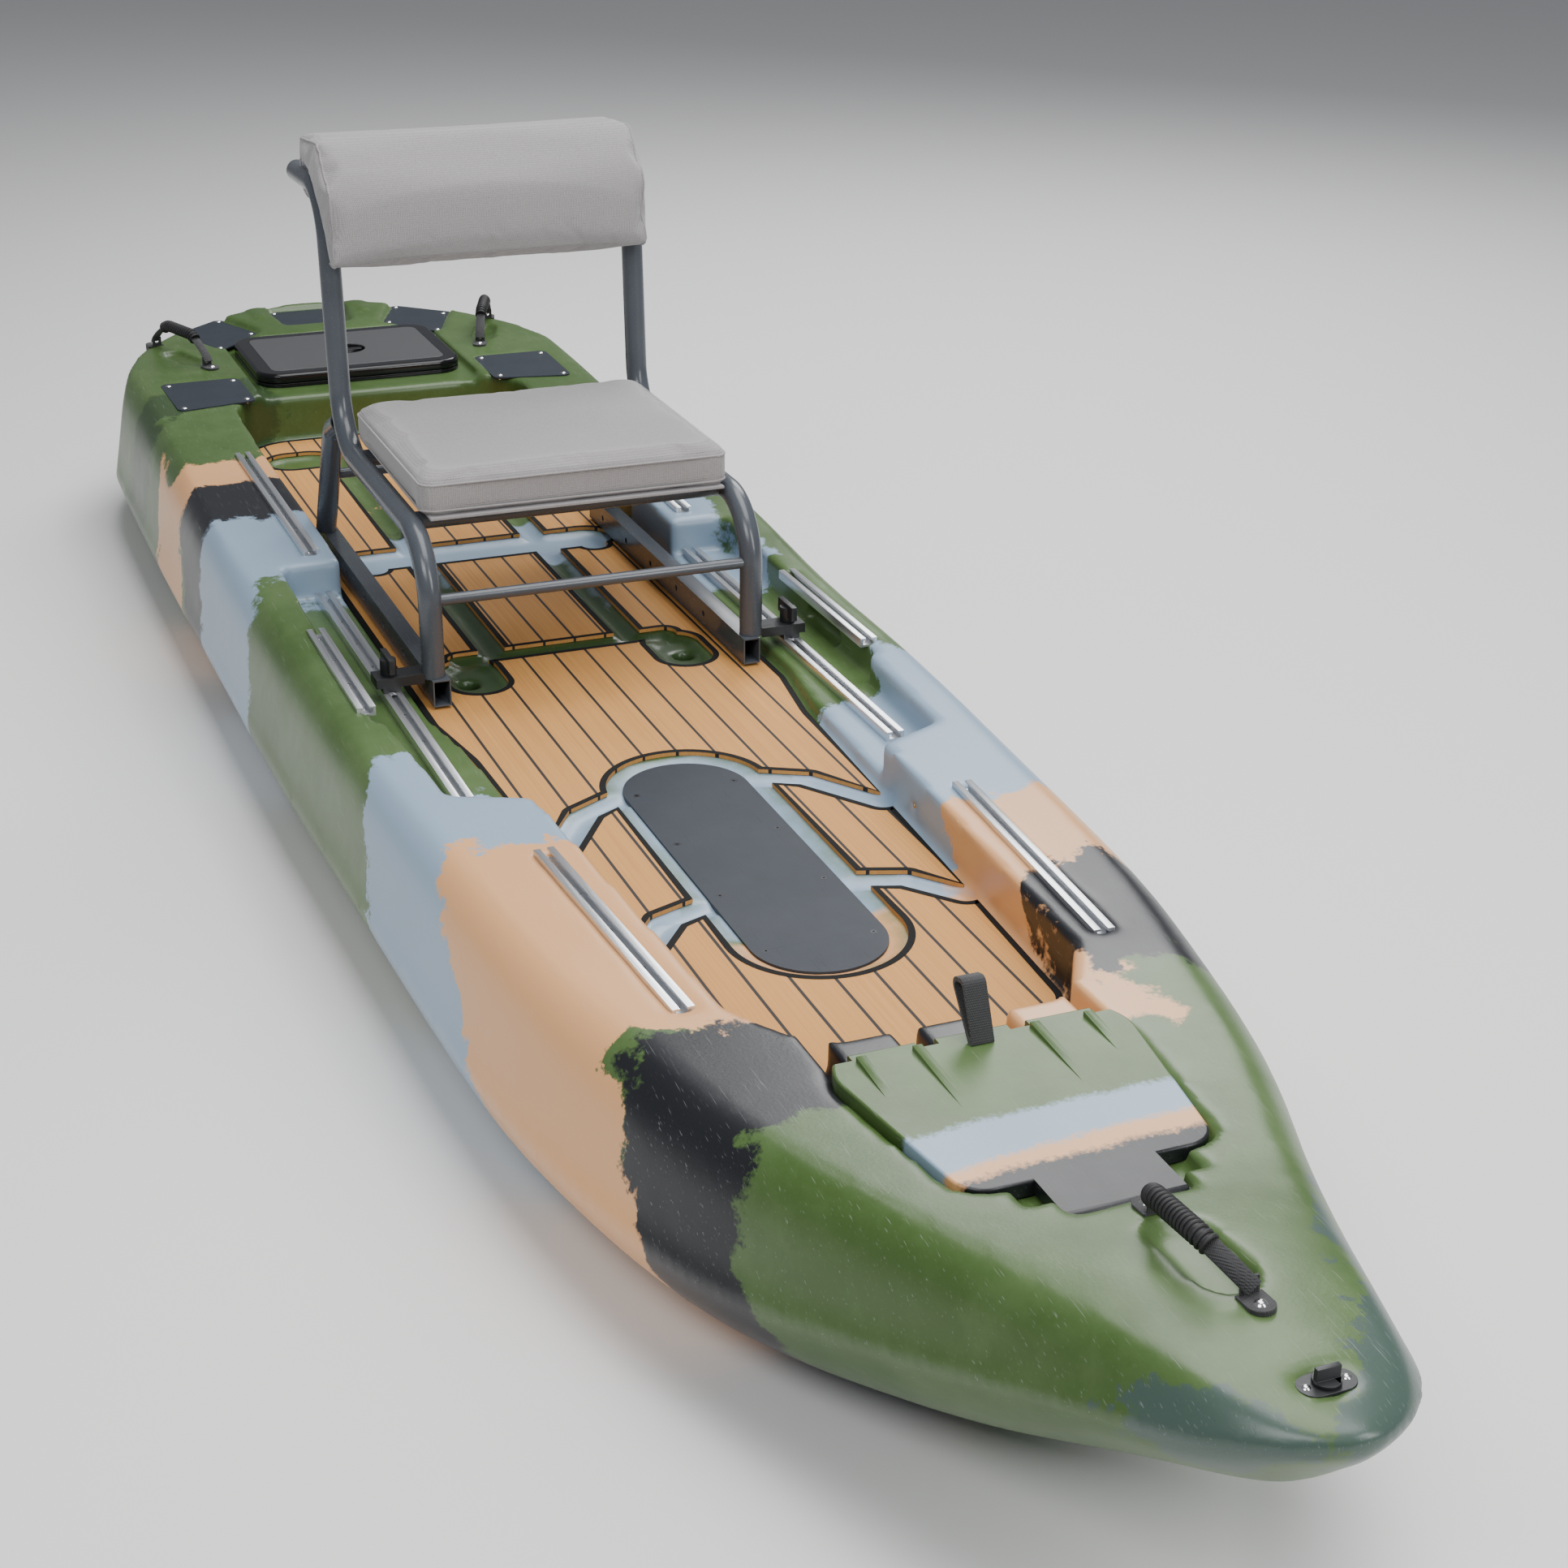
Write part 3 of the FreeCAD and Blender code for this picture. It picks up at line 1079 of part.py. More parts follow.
# ---------------------------------------------------------------- every part
def main():
    hull_shape = hull()
    save("hull", hull_shape)
    rails, track_screws = tracks()
    plates, rivets = plates_and_rivets()
    plate, cover_screws = cover()
    grips, handle_screws = handles(hull_shape)
    plug, plug_screws = drain_plug()
    nodes = dict(rails)
    nodes["track_screws"] = track_screws
    nodes.update(floor_pads())
    nodes["cover_plate"] = plate
    nodes["cover_screws"] = cover_screws
    nodes["plates_front"] = [plates["port_front"], plates["starboard_front"]]
    nodes["plates_rear"] = [plates["port_rear"], plates["starboard_rear"]]
    nodes["plate_centre"] = plates["centre"]
    nodes["plate_rivets"] = rivets
    nodes["wall_inserts"] = wall_inserts()
    nodes.update(stern_hatch())
    nodes.update(bow_hatch())
    nodes.update(grips)
    nodes.update(plug)
    nodes["deck_screws"] = handle_screws + plug_screws
    nodes.update(chair())
    for name, shape in nodes.items():
        save(name, *(shape if isinstance(shape, list) else [shape]))
    print(len(nodes) + 1, "nodes")


main()
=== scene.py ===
"""Looks of a sit-on-top fishing kayak with a sliding chair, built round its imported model."""
import json
import math

import bmesh
import bpy
from mathutils import Matrix, Vector


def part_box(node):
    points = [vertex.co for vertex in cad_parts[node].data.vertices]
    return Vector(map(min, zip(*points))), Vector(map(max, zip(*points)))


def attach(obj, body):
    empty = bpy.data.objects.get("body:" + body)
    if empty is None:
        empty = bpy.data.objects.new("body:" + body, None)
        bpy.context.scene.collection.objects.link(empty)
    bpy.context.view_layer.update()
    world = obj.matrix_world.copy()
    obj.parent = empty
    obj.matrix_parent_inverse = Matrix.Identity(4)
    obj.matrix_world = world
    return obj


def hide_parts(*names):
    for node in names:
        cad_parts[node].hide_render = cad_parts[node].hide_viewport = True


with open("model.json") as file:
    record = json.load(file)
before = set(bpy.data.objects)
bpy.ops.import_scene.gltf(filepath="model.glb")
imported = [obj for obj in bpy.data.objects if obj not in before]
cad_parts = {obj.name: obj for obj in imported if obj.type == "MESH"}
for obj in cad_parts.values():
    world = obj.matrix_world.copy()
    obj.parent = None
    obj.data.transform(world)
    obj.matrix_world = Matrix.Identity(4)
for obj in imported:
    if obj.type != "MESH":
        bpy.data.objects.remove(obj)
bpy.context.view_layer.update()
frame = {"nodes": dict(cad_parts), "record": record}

# sizes in metres, angles in degrees
CAMERA_PLACE = (3.1385, -0.9914, 1.5225)
CAMERA_TURN = (-22.310, 24.458, 0.666)        # heading, dip and roll
CAMERA_LENS = 57.54
SKIN_VOXEL = 0.006
SKIN_SMOOTHING = 7
SKIN_PARTS = 4
BOW_HOLE = ((1.268, -0.092, 0.257), (1.424, 0.092, 0.257))
STERN_HOLE = ((-1.610, -0.160, 0.274), (-1.376, 0.160, 0.274))
HOLE_WALL = 0.006
PAD_BORDER = 0.0085
PLANK_PITCH = 0.0465
PLANK_SEAM = 0.0040
HANDLE_SPANS = {"bow": 0.184, "port": 0.220, "starboard": 0.220}
BOW_HANDLE_LEAN = 38.0
HANDLE_RISE = 0.040
STRAP_END = 0.0105
STRAP_STEPS = 40
STRAP_BARE = 9                                 # steps of bare webbing at each end of a grip
WEBBING_WIDTH = 0.017
WEBBING_THICK = 0.0036
SLEEVE_SIZES = {"Sleeve radius": 0.0088, "Ring radius": 0.0021, "Rings": 17}
STITCH_SIZES = {"Thread radius": 0.0005, "Stretch": 3.0, "Stitches": 400}
BACK_STITCHES = 140
SEAM_RADIUS = 0.0016
SEAM_LIFT = 0.0004
STITCH_LIFT = 0.0003
CLOTH_VOXEL = 0.006
CLOTH_PRESSURE = 4.0
SEAT_SWELL, SEAT_SHRINK = 0.012, 0.001
BACK_SWELL, BACK_SHRINK = 0.010, 0.002
BACK_PROFILE = ((-0.424, 0.690), (-0.516, 0.690), (-0.530, 0.762), (-0.616, 0.768),
                (-0.620, 0.852), (-0.500, 0.864), (-0.430, 0.800))
CLOTH_STEPS = 20
MERGE_GAP = 1e-5
FLOOR_REACH = 14.0
HULL_WANDER = 0.17
LID_WANDER = 0.035
BAND_LEVEL = 0.265                             # the height at which a band's ends are given
FAR = 9.0                                      # past every edge of the boat

GREEN = (0.050, 0.098, 0.022, 1)
DEEP_GREEN = (0.030, 0.062, 0.018, 1)
PALE_BLUE = (0.270, 0.370, 0.480, 1)
TAN = (0.700, 0.370, 0.165, 1)
BLACK = (0.010, 0.011, 0.014, 1)
GREY_GREEN = (0.050, 0.085, 0.068, 1)
LIGHT_GREEN = (0.100, 0.165, 0.058, 1)
CHALK = (0.55, 0.58, 0.58, 1)
FLOOR_PAPER = (0.78, 0.78, 0.77, 1)


# ------------------------------------------------------------------ node helpers
def add(tree, kind, inputs=None, **settings):
    """A new node with its settings, and with its inputs set to values or joined to sockets."""
    made = tree.nodes.new(kind)
    for name, value in settings.items():
        setattr(made, name, value)
    for name, value in (inputs or {}).items():
        if isinstance(value, bpy.types.NodeSocket):
            tree.links.new(value, made.inputs[name])
        else:
            made.inputs[name].default_value = value
    return made


def math_node(tree, operation, a, b=0.0, c=0.0):
    return add(tree, "ShaderNodeMath", {0: a, 1: b, 2: c}, operation=operation).outputs[0]


def vector_math(tree, operation, a, b):
    return add(tree, "ShaderNodeVectorMath", {0: a, 1: b}, operation=operation).outputs[0]


def shader_group(name, inputs, outputs):
    """An empty shader group: name to default for the inputs, name to socket kind for the outputs."""
    tree = bpy.data.node_groups.new(name, "ShaderNodeTree")
    for label, value in inputs.items():
        kind = "NodeSocketVector" if isinstance(value, tuple) else "NodeSocketFloat"
        tree.interface.new_socket(label, in_out="INPUT", socket_type=kind).default_value = value
    for label, kind in outputs.items():
        tree.interface.new_socket(label, in_out="OUTPUT", socket_type=kind)
    given = tree.nodes.new("NodeGroupInput").outputs
    result = tree.nodes.new("NodeGroupOutput").inputs
    return tree, given, result


def place(tree, group, inputs):
    return add(tree, "ShaderNodeGroup", inputs, node_tree=group).outputs


def node_of(tree, kind):
    return next(node for node in tree.nodes if node.type == kind)


def mix_colour(tree, mask, under, over):
    made = add(tree, "ShaderNodeMix", {0: mask, 6: under, 7: over}, data_type="RGBA")
    return made.outputs[2]


# ------------------------------------------------------------------ shared effects
def build_ragged_position():
    """Moves a position about, so that a colour's edge wanders, feathers and speckles."""
    tree, given, result = shader_group(
        "ragged_position", {"Position": (0.0, 0.0, 0.0), "Wander": 0.16, "Feather": 0.03,
                            "Speckle": 0.010}, {"Position": "NodeSocketVector"})
    position = given["Position"]
    for label, scale, detail in (("Wander", 3.2, 3.0), ("Feather", 22.0, 5.0),
                                 ("Speckle", 170.0, 3.0)):
        cloud = add(tree, "ShaderNodeTexNoise", {"Vector": given["Position"], "Scale": scale,
                                                 "Detail": detail, "Roughness": 0.62})
        centred = vector_math(tree, "SUBTRACT", cloud.outputs["Color"], (0.5, 0.5, 0.5))
        scaled = add(tree, "ShaderNodeVectorMath", {0: centred, "Scale": given[label]},
                     operation="SCALE").outputs[0]
        position = vector_math(tree, "ADD", position, scaled)
    tree.links.new(position, result["Position"])
    return tree


def build_colour_band():
    """A mask for one band of hull colour across the boat, on one side of a height or width."""
    tree, given, result = shader_group(
        "colour_band",
        {"Position": (0.0, 0.0, 0.0), "From": 0.0, "To": 1.0, "Lean": 0.0, "Drop": 0.0,
         "Side from": -FAR, "Side to": FAR, "Low": -FAR, "High": FAR, "Soft": 0.010},
        {"Mask": "NodeSocketFloat"})
    parts = add(tree, "ShaderNodeSeparateXYZ", {0: given["Position"]}).outputs
    leaning = math_node(tree, "MULTIPLY_ADD", parts["Y"], given["Lean"], parts["X"])
    above = math_node(tree, "SUBTRACT", parts["Z"], BAND_LEVEL)
    along = math_node(tree, "MULTIPLY_ADD", above, given["Drop"], leaning)
    mask = 1.0
    for value, low, high in ((along, "From", "To"), (parts["Y"], "Side from", "Side to"),
                             (parts["Z"], "Low", "High")):
        for a, b in ((value, given[low]), (given[high], value)):
            past = math_node(tree, "SUBTRACT", a, b)
            edge = math_node(tree, "DIVIDE", past, given["Soft"])
            edge = add(tree, "ShaderNodeMath", {0: edge, 1: 0.5}, operation="ADD",
                       use_clamp=True).outputs[0]
            mask = edge if mask == 1.0 else math_node(tree, "MULTIPLY", mask, edge)
    tree.links.new(mask, result["Mask"])
    return tree


def build_moulded_wear():
    """Fine scratches, scuffs and orange-peel of a moulded surface, as roughness and height."""
    tree, given, result = shader_group(
        "moulded_wear", {"Position": (0.0, 0.0, 0.0), "Polish": 0.34, "Spread": 0.14,
                         "Peel scale": 420.0},
        {"Roughness": "NodeSocketFloat", "Height": "NodeSocketFloat", "Scuff": "NodeSocketFloat"})
    cloud = add(tree, "ShaderNodeTexNoise", {"Vector": given["Position"], "Scale": 5.0,
                                             "Detail": 6.0, "Roughness": 0.6}).outputs[0]
    spread = math_node(tree, "MULTIPLY", given["Spread"], math_node(tree, "SUBTRACT", cloud, 0.5))
    peel = add(tree, "ShaderNodeTexNoise", {"Vector": given["Position"],
                                            "Scale": given["Peel scale"], "Detail": 2.0}).outputs[0]
    scuff = None
    for turn, stretch in ((0.5, (18.0, 900.0, 260.0)), (-0.9, (22.0, 760.0, 300.0))):
        turned = add(tree, "ShaderNodeMapping", {"Vector": given["Position"],
                                                 "Rotation": (0.0, 0.0, turn),
                                                 "Scale": stretch}).outputs[0]
        lines = add(tree, "ShaderNodeTexNoise", {"Vector": turned, "Scale": 1.0,
                                                 "Detail": 1.0}).outputs[0]
        cut = add(tree, "ShaderNodeMapRange", {0: lines, 1: 0.70, 2: 0.78}).outputs[0]
        scuff = cut if scuff is None else math_node(tree, "MAXIMUM", scuff, cut)
    rough = math_node(tree, "MULTIPLY_ADD", scuff, 0.12, math_node(tree, "ADD", spread,
                                                                  given["Polish"]))
    height = math_node(tree, "MULTIPLY_ADD", scuff, -0.4, peel)
    tree.links.new(rough, result["Roughness"])
    tree.links.new(height, result["Height"])
    tree.links.new(scuff, result["Scuff"])
    return tree


def build_weave():
    """Crossing threads of a cloth, from the position in metres and the thread pitch."""
    tree, given, result = shader_group(
        "crossed_threads", {"Position": (0.0, 0.0, 0.0), "Pitch": 0.0016},
        {"Height": "NodeSocketFloat", "Shade": "NodeSocketFloat"})
    parts = add(tree, "ShaderNodeSeparateXYZ", {0: given["Position"]}).outputs
    full = math_node(tree, "DIVIDE", math.tau, given["Pitch"])
    waves = [math_node(tree, "SINE", math_node(tree, "MULTIPLY", parts[axis], full))
             for axis in ("X", "Y", "Z")]
    cross = math_node(tree, "MULTIPLY", waves[0], waves[1])
    height = math_node(tree, "MULTIPLY_ADD", waves[2], 0.5, cross)
    height = math_node(tree, "MULTIPLY_ADD", height, 0.35, 0.5)
    slub = add(tree, "ShaderNodeTexNoise", {"Vector": given["Position"], "Scale": 420.0,
                                            "Detail": 2.0}).outputs[0]
    # Shade: random slub tone plus painted shade, lighter where the threads stand higher and darker
    # in the hollows between them
    shade = math_node(tree, "MULTIPLY_ADD", slub, 0.5, math_node(tree, "MULTIPLY", height, 0.5))
    tree.links.new(height, result["Height"])
    tree.links.new(shade, result["Shade"])
    return tree


RAGGED = build_ragged_position()
BAND = build_colour_band()
WEAR = build_moulded_wear()
THREADS = build_weave()


def new_material(name):
    material = bpy.data.materials.new(name)
    material.use_nodes = True
    tree = material.node_tree
    shader = node_of(tree, "BSDF_PRINCIPLED")
    where = add(tree, "ShaderNodeTexCoord").outputs["Object"]
    return material, tree, shader, where


def bump(tree, shader, height, strength, distance):
    made = add(tree, "ShaderNodeBump", {"Height": height, "Strength": strength,
                                        "Distance": distance})
    tree.links.new(made.outputs[0], shader.inputs["Normal"])


# ------------------------------------------------------------------ materials
# colour, from, to, lean, drop, side from, side to, low, high: each band of colour on the hull
HULL_BANDS = (
    (DEEP_GREEN, -1.50, -1.36, 0.5, 0.3, -FAR, -0.2, -FAR, FAR),
    (TAN, -0.985, -0.835, 0.12, 0.55, -FAR, 0.0, 0.196, FAR),
    (TAN, -1.100, -0.86, 0.0, 0.9, -FAR, -0.36, -FAR, 0.23),
    (BLACK, -0.870, -0.640, 0.10, 0.75, -FAR, 0.0, 0.196, FAR),
    (BLACK, -0.890, -0.640, 0.10, 0.95, -FAR, -0.36, -FAR, 0.23),
    (PALE_BLUE, -0.680, -0.405, 0.12, 0.55, -FAR, 0.0, 0.196, FAR),
    (PALE_BLUE, -0.690, -0.330, 0.12, 0.55, -FAR, -0.36, -FAR, 0.23),
    (PALE_BLUE, -0.68, -0.32, -0.3, 0.2, 0.0, 0.36, 0.196, FAR),
    (PALE_BLUE, 0.40, 0.82, -0.25, 1.3, -FAR, -0.15, -FAR, FAR),
    (PALE_BLUE, 0.19, 0.80, 0.0, 0.9, 0.15, FAR, -FAR, FAR),
    (TAN, 0.735, 1.15, -0.30, 1.5, -FAR, -0.13, -FAR, FAR),
    (TAN, 0.76, 1.15, 0.35, 1.1, 0.13, FAR, -FAR, FAR),
    (TAN, 1.10, 1.24, 0.0, 0.0, 0.03, 0.22, 0.2, FAR),
    (BLACK, 1.045, 1.236, 0.16, 0.75, -FAR, -0.10, -FAR, FAR),
    (BLACK, 1.10, 1.236, 0.0, 0.0, -0.16, 0.036, 0.2, FAR),
    (BLACK, 0.99, 1.225, 0.34, 1.1, 0.19, FAR, -FAR, FAR),
    (GREY_GREEN, 1.90, FAR, -1.2, 0.0, -FAR, 0.0, -FAR, FAR),
    (GREY_GREEN, 1.92, FAR, 1.9, 0.0, 0.0, FAR, 0.262, FAR),
)
FLOOR_SPAN = (-0.262, 0.262, 0.16, 0.1895)      # side from, side to, low, high
FLOOR_BANDS = (
    (DEEP_GREEN, -0.50, 0.30, 0.0, 0.0, *FLOOR_SPAN),
    (PALE_BLUE, -0.70, -0.50, 0.0, 0.0, *FLOOR_SPAN),
    (PALE_BLUE, 0.30, 0.80, 0.0, 0.0, *FLOOR_SPAN),
    (TAN, 0.80, 1.25, 0.10, 0.0, *FLOOR_SPAN),
)
LID_BANDS = (
    (PALE_BLUE, 1.368, 1.50, 0.02, 0.0, -FAR, FAR, -FAR, FAR),
    (TAN, 1.426, 1.50, 0.06, 0.0, -FAR, FAR, -FAR, FAR),
    (BLACK, 1.450, 1.60, 0.03, 0.0, -FAR, FAR, -FAR, FAR),
)


def hull_plastic(name, bands, wander, dulling=0.0, calm_bands=()):
    """Moulded plastic in ragged bands of colour, with straight-edged bands over them."""
    material, tree, shader, where = new_material(name)
    ragged = place(tree, RAGGED, {"Position": where, "Wander": wander, "Feather": wander * 0.5,
                                  "Speckle": 0.022})[0]
    calm = place(tree, RAGGED, {"Position": where, "Wander": 0.01, "Feather": 0.01,
                                "Speckle": 0.0})[0]
    streak = add(tree, "ShaderNodeTexNoise", {"Vector": where, "Scale": 2.6, "Detail": 8.0,
                                              "Roughness": 0.7}).outputs[0]
    light = add(tree, "ShaderNodeMapRange", {0: streak, 1: 0.42, 2: 0.72}).outputs[0]
    colour = mix_colour(tree, light, GREEN, LIGHT_GREEN)
    for position, group in ((ragged, bands), (calm, calm_bands)):
        for shade, start, end, lean, drop, side_a, side_b, low, high in group:
            mask = place(tree, BAND, {"Position": position, "From": start, "To": end,
                                      "Lean": lean, "Drop": drop, "Side from": side_a,
                                      "Side to": side_b, "Low": low, "High": high})[0]
            colour = mix_colour(tree, mask, colour, shade)
    wear = place(tree, WEAR, {"Position": where, "Polish": 0.33 + dulling, "Spread": 0.22,
                              "Peel scale": 260.0})
    chalk = math_node(tree, "MULTIPLY", wear["Scuff"], 0.16)
    colour = mix_colour(tree, chalk, colour, CHALK)
    tree.links.new(colour, shader.inputs["Base Color"])
    tree.links.new(wear["Roughness"], shader.inputs["Roughness"])
    bump(tree, shader, wear["Height"], 0.16, 0.0006)
    return material


def moulded(name, colour, polish, spread=0.12, peel=500.0, strength=0.2, metal=0.0, shine=0.5):
    """Painted, moulded or cast finish with a little wear."""
    material, tree, shader, where = new_material(name)
    wear = place(tree, WEAR, {"Position": where, "Polish": polish, "Spread": spread,
                              "Peel scale": peel})
    cloud = add(tree, "ShaderNodeTexNoise", {"Vector": where, "Scale": 30.0,
                                             "Detail": 4.0}).outputs[0]
    lighter = tuple(min(1.0, c * 1.24 + 0.004) for c in colour[:3]) + (1,)
    base = mix_colour(tree, cloud, colour, lighter)
    tree.links.new(base, shader.inputs["Base Color"])
    tree.links.new(wear["Roughness"], shader.inputs["Roughness"])
    shader.inputs["Metallic"].default_value = metal
    shader.inputs["Specular IOR Level"].default_value = shine
    bump(tree, shader, wear["Height"], strength, 0.0003)
    return material


def drawn_aluminium():
    material, tree, shader, where = new_material("drawn_aluminium")
    stretched = add(tree, "ShaderNodeMapping", {"Vector": where,
                                                "Scale": (6.0, 1500.0, 1500.0)}).outputs[0]
    lines = add(tree, "ShaderNodeTexNoise", {"Vector": stretched, "Scale": 1.0,
                                             "Detail": 3.0}).outputs[0]
    colour = mix_colour(tree, lines, (0.62, 0.64, 0.67, 1), (0.86, 0.87, 0.89, 1))
    rough = math_node(tree, "MULTIPLY_ADD", lines, 0.22, 0.22)
    tree.links.new(colour, shader.inputs["Base Color"])
    tree.links.new(rough, shader.inputs["Roughness"])
    shader.inputs["Metallic"].default_value = 0.95
    bump(tree, shader, lines, 0.12, 0.0002)
    return material


def plank_foam():
    """Closed-cell foam with a plank print: grain along the boat and dark seams."""
    material, tree, shader, where = new_material("plank_foam")
    parts = add(tree, "ShaderNodeSeparateXYZ", {0: where}).outputs
    shifted = math_node(tree, "ADD", parts["Y"], 40.5 * PLANK_PITCH)
    row = math_node(tree, "DIVIDE", shifted, PLANK_PITCH)
    inside = math_node(tree, "FRACT", row)
    off_centre = math_node(tree, "ABSOLUTE", math_node(tree, "SUBTRACT", inside, 0.5))
    plank_edge = 0.5 - 0.5 * PLANK_SEAM / PLANK_PITCH
    seam = add(tree, "ShaderNodeMapRange", {0: off_centre, 1: plank_edge - 0.006,
                                            2: plank_edge + 0.006}).outputs[0]
    number = math_node(tree, "FLOOR", row)
    jump = add(tree, "ShaderNodeCombineXYZ", {"X": math_node(tree, "MULTIPLY", number, 3.7),
                                              "Y": parts["Y"], "Z": number}).outputs[0]
    grain_at = vector_math(tree, "ADD", where, jump)
    stretched = add(tree, "ShaderNodeMapping", {"Vector": grain_at,
                                                "Scale": (3.0, 150.0, 1.0)}).outputs[0]
    grain = add(tree, "ShaderNodeTexNoise", {"Vector": stretched, "Scale": 1.0, "Detail": 7.0,
                                             "Roughness": 0.65, "Distortion": 0.4}).outputs[0]
    board = add(tree, "ShaderNodeTexWhiteNoise", {"W": number},
                noise_dimensions="1D").outputs["Value"]
    wood = mix_colour(tree, grain, (0.400, 0.165, 0.036, 1), (0.720, 0.365, 0.100, 1))
    toned = mix_colour(tree, math_node(tree, "MULTIPLY", board, 0.22), wood,
                       (0.47, 0.21, 0.05, 1))
    colour = mix_colour(tree, seam, toned, (0.016, 0.014, 0.013, 1))
    tree.links.new(colour, shader.inputs["Base Color"])
    shader.inputs["Roughness"].default_value = 0.72
    height = math_node(tree, "MULTIPLY_ADD", seam, -2.0, grain)
    bump(tree, shader, height, 0.35, 0.0006)
    return material


def cushion_cloth():
    material, tree, shader, where = new_material("cushion_cloth")
    threads = place(tree, THREADS, {"Position": where, "Pitch": 0.0026})
    cloud = add(tree, "ShaderNodeTexNoise", {"Vector": where, "Scale": 9.0,
                                             "Detail": 4.0}).outputs[0]
    # the threads' Shade gives random slub tone plus painted shade in the weave's hollows
    base = mix_colour(tree, threads["Shade"], (0.135, 0.127, 0.128, 1), (0.430, 0.412, 0.412, 1))
    worn = math_node(tree, "MULTIPLY", cloud, 0.3)
    base = mix_colour(tree, worn, base, (0.340, 0.322, 0.316, 1))
    tree.links.new(base, shader.inputs["Base Color"])
    shader.inputs["Roughness"].default_value = 0.86
    shader.inputs["Sheen Weight"].default_value = 0.25
    shader.inputs["Sheen Roughness"].default_value = 0.5
    bump(tree, shader, threads["Height"], 0.45, 0.0007)
    return material


def webbing():
    material, tree, shader, where = new_material("black_webbing")
    threads = place(tree, THREADS, {"Position": where, "Pitch": 0.0022})
    # the threads' Shade gives random slub tone plus painted shade in the weave's hollows
    base = mix_colour(tree, threads["Shade"], (0.006, 0.006, 0.007, 1), (0.045, 0.045, 0.048, 1))
    tree.links.new(base, shader.inputs["Base Color"])
    shader.inputs["Roughness"].default_value = 0.7
    shader.inputs["Sheen Weight"].default_value = 0.15
    bump(tree, shader, threads["Height"], 0.8, 0.0008)
    return material


def hatch_mesh():
    """Dark board with a fine raised lattice, with painted shade in the hollows between its strands.
    """
    material, tree, shader, where = new_material("hatch_lattice")
    threads = place(tree, THREADS, {"Position": where, "Pitch": 0.0052})
    # colour from the lattice height: painted shade, darker in the hollows and lighter on the raised
    # strands
    base = mix_colour(tree, threads["Height"], (0.016, 0.017, 0.019, 1), (0.120, 0.122, 0.128, 1))
    tree.links.new(base, shader.inputs["Base Color"])
    shader.inputs["Roughness"].default_value = 0.5
    bump(tree, shader, threads["Height"], 0.7, 0.0012)
    return material


HULL = hull_plastic("camouflage_hull", HULL_BANDS, HULL_WANDER, calm_bands=FLOOR_BANDS)
LID = hull_plastic("camouflage_lid", LID_BANDS, LID_WANDER, dulling=0.06)
BOARD = moulded("dark_board", (0.022, 0.027, 0.036, 1), 0.50, 0.2, 900.0, 0.25, shine=0.25)
DARK = moulded("dark_plastic", (0.012, 0.013, 0.015, 1), 0.42)
GLOSS = moulded("gloss_black", (0.004, 0.004, 0.005, 1), 0.16, 0.05, 120.0, 0.05, shine=0.35)
TUBE_PAINT = moulded("tube_powder_coat", (0.058, 0.066, 0.078, 1), 0.24, 0.08, 700.0, 0.12)
RUBBER = moulded("black_rubber", (0.009, 0.009, 0.010, 1), 0.55, 0.1, 900.0, 0.3)
STEEL = moulded("bright_steel", (0.66, 0.66, 0.66, 1), 0.18, 0.1, 800.0, 0.05, 1.0)
DARK_STEEL = moulded("dark_steel", (0.03, 0.03, 0.035, 1), 0.35, 0.1, 800.0, 0.1, 0.8)
BRASS = moulded("brass", (0.62, 0.42, 0.16, 1), 0.3, 0.1, 800.0, 0.05, 1.0)
BLACK_FOAM = moulded("black_foam", (0.006, 0.006, 0.006, 1), 0.8, 0.1, 1200.0, 0.4, shine=0.2)
ALUMINIUM = drawn_aluminium()
PLANKS = plank_foam()
CLOTH = cushion_cloth()
WEBBING = webbing()
LATTICE = hatch_mesh()


# ------------------------------------------------------------------ mesh helpers
def linked(name, data):
    """A new object in the scene."""
    made = bpy.data.objects.new(name, data)
    bpy.context.collection.objects.link(made)
    return made


def new_piece(name, mesh, material, body, slot, *nodes):
    """A visible piece that rides a body, in place of the CAD nodes that it stands for."""
    piece = linked(name, mesh)
    if material is not None:
        mesh.materials.clear()
        mesh.materials.append(material)
    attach(piece, body)
    if nodes:
        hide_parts(*nodes)
    return piece


def node_mesh(node):
    """A merged copy of a CAD node's mesh."""
    work = bmesh.new()
    work.from_mesh(frame["nodes"][node].data)
    bmesh.ops.remove_doubles(work, verts=work.verts, dist=MERGE_GAP)
    mesh = bpy.data.meshes.new(node + "_copy")
    work.to_mesh(mesh)
    work.free()
    return mesh


def baked(piece):
    """The piece's mesh with its modifiers applied."""
    graph = bpy.context.evaluated_depsgraph_get()
    mesh = bpy.data.meshes.new_from_object(piece.evaluated_get(graph))
    piece.modifiers.clear()
    piece.data = mesh
    return mesh


def smooth(mesh, angle=35.0):
    mesh.polygons.foreach_set("use_smooth", [True] * len(mesh.polygons))
    mesh.set_sharp_from_angle(angle=math.radians(angle))


def body_of_node(node):
    bodies = frame["record"]["behaviour"]["bodies"]
    return next(name for name, nodes in bodies.items() if node in nodes)


def slot_of_node(node):
    parts = frame["record"]["subparts"]
    return next(part["material_slot"] for part in parts if part["node"] == node)


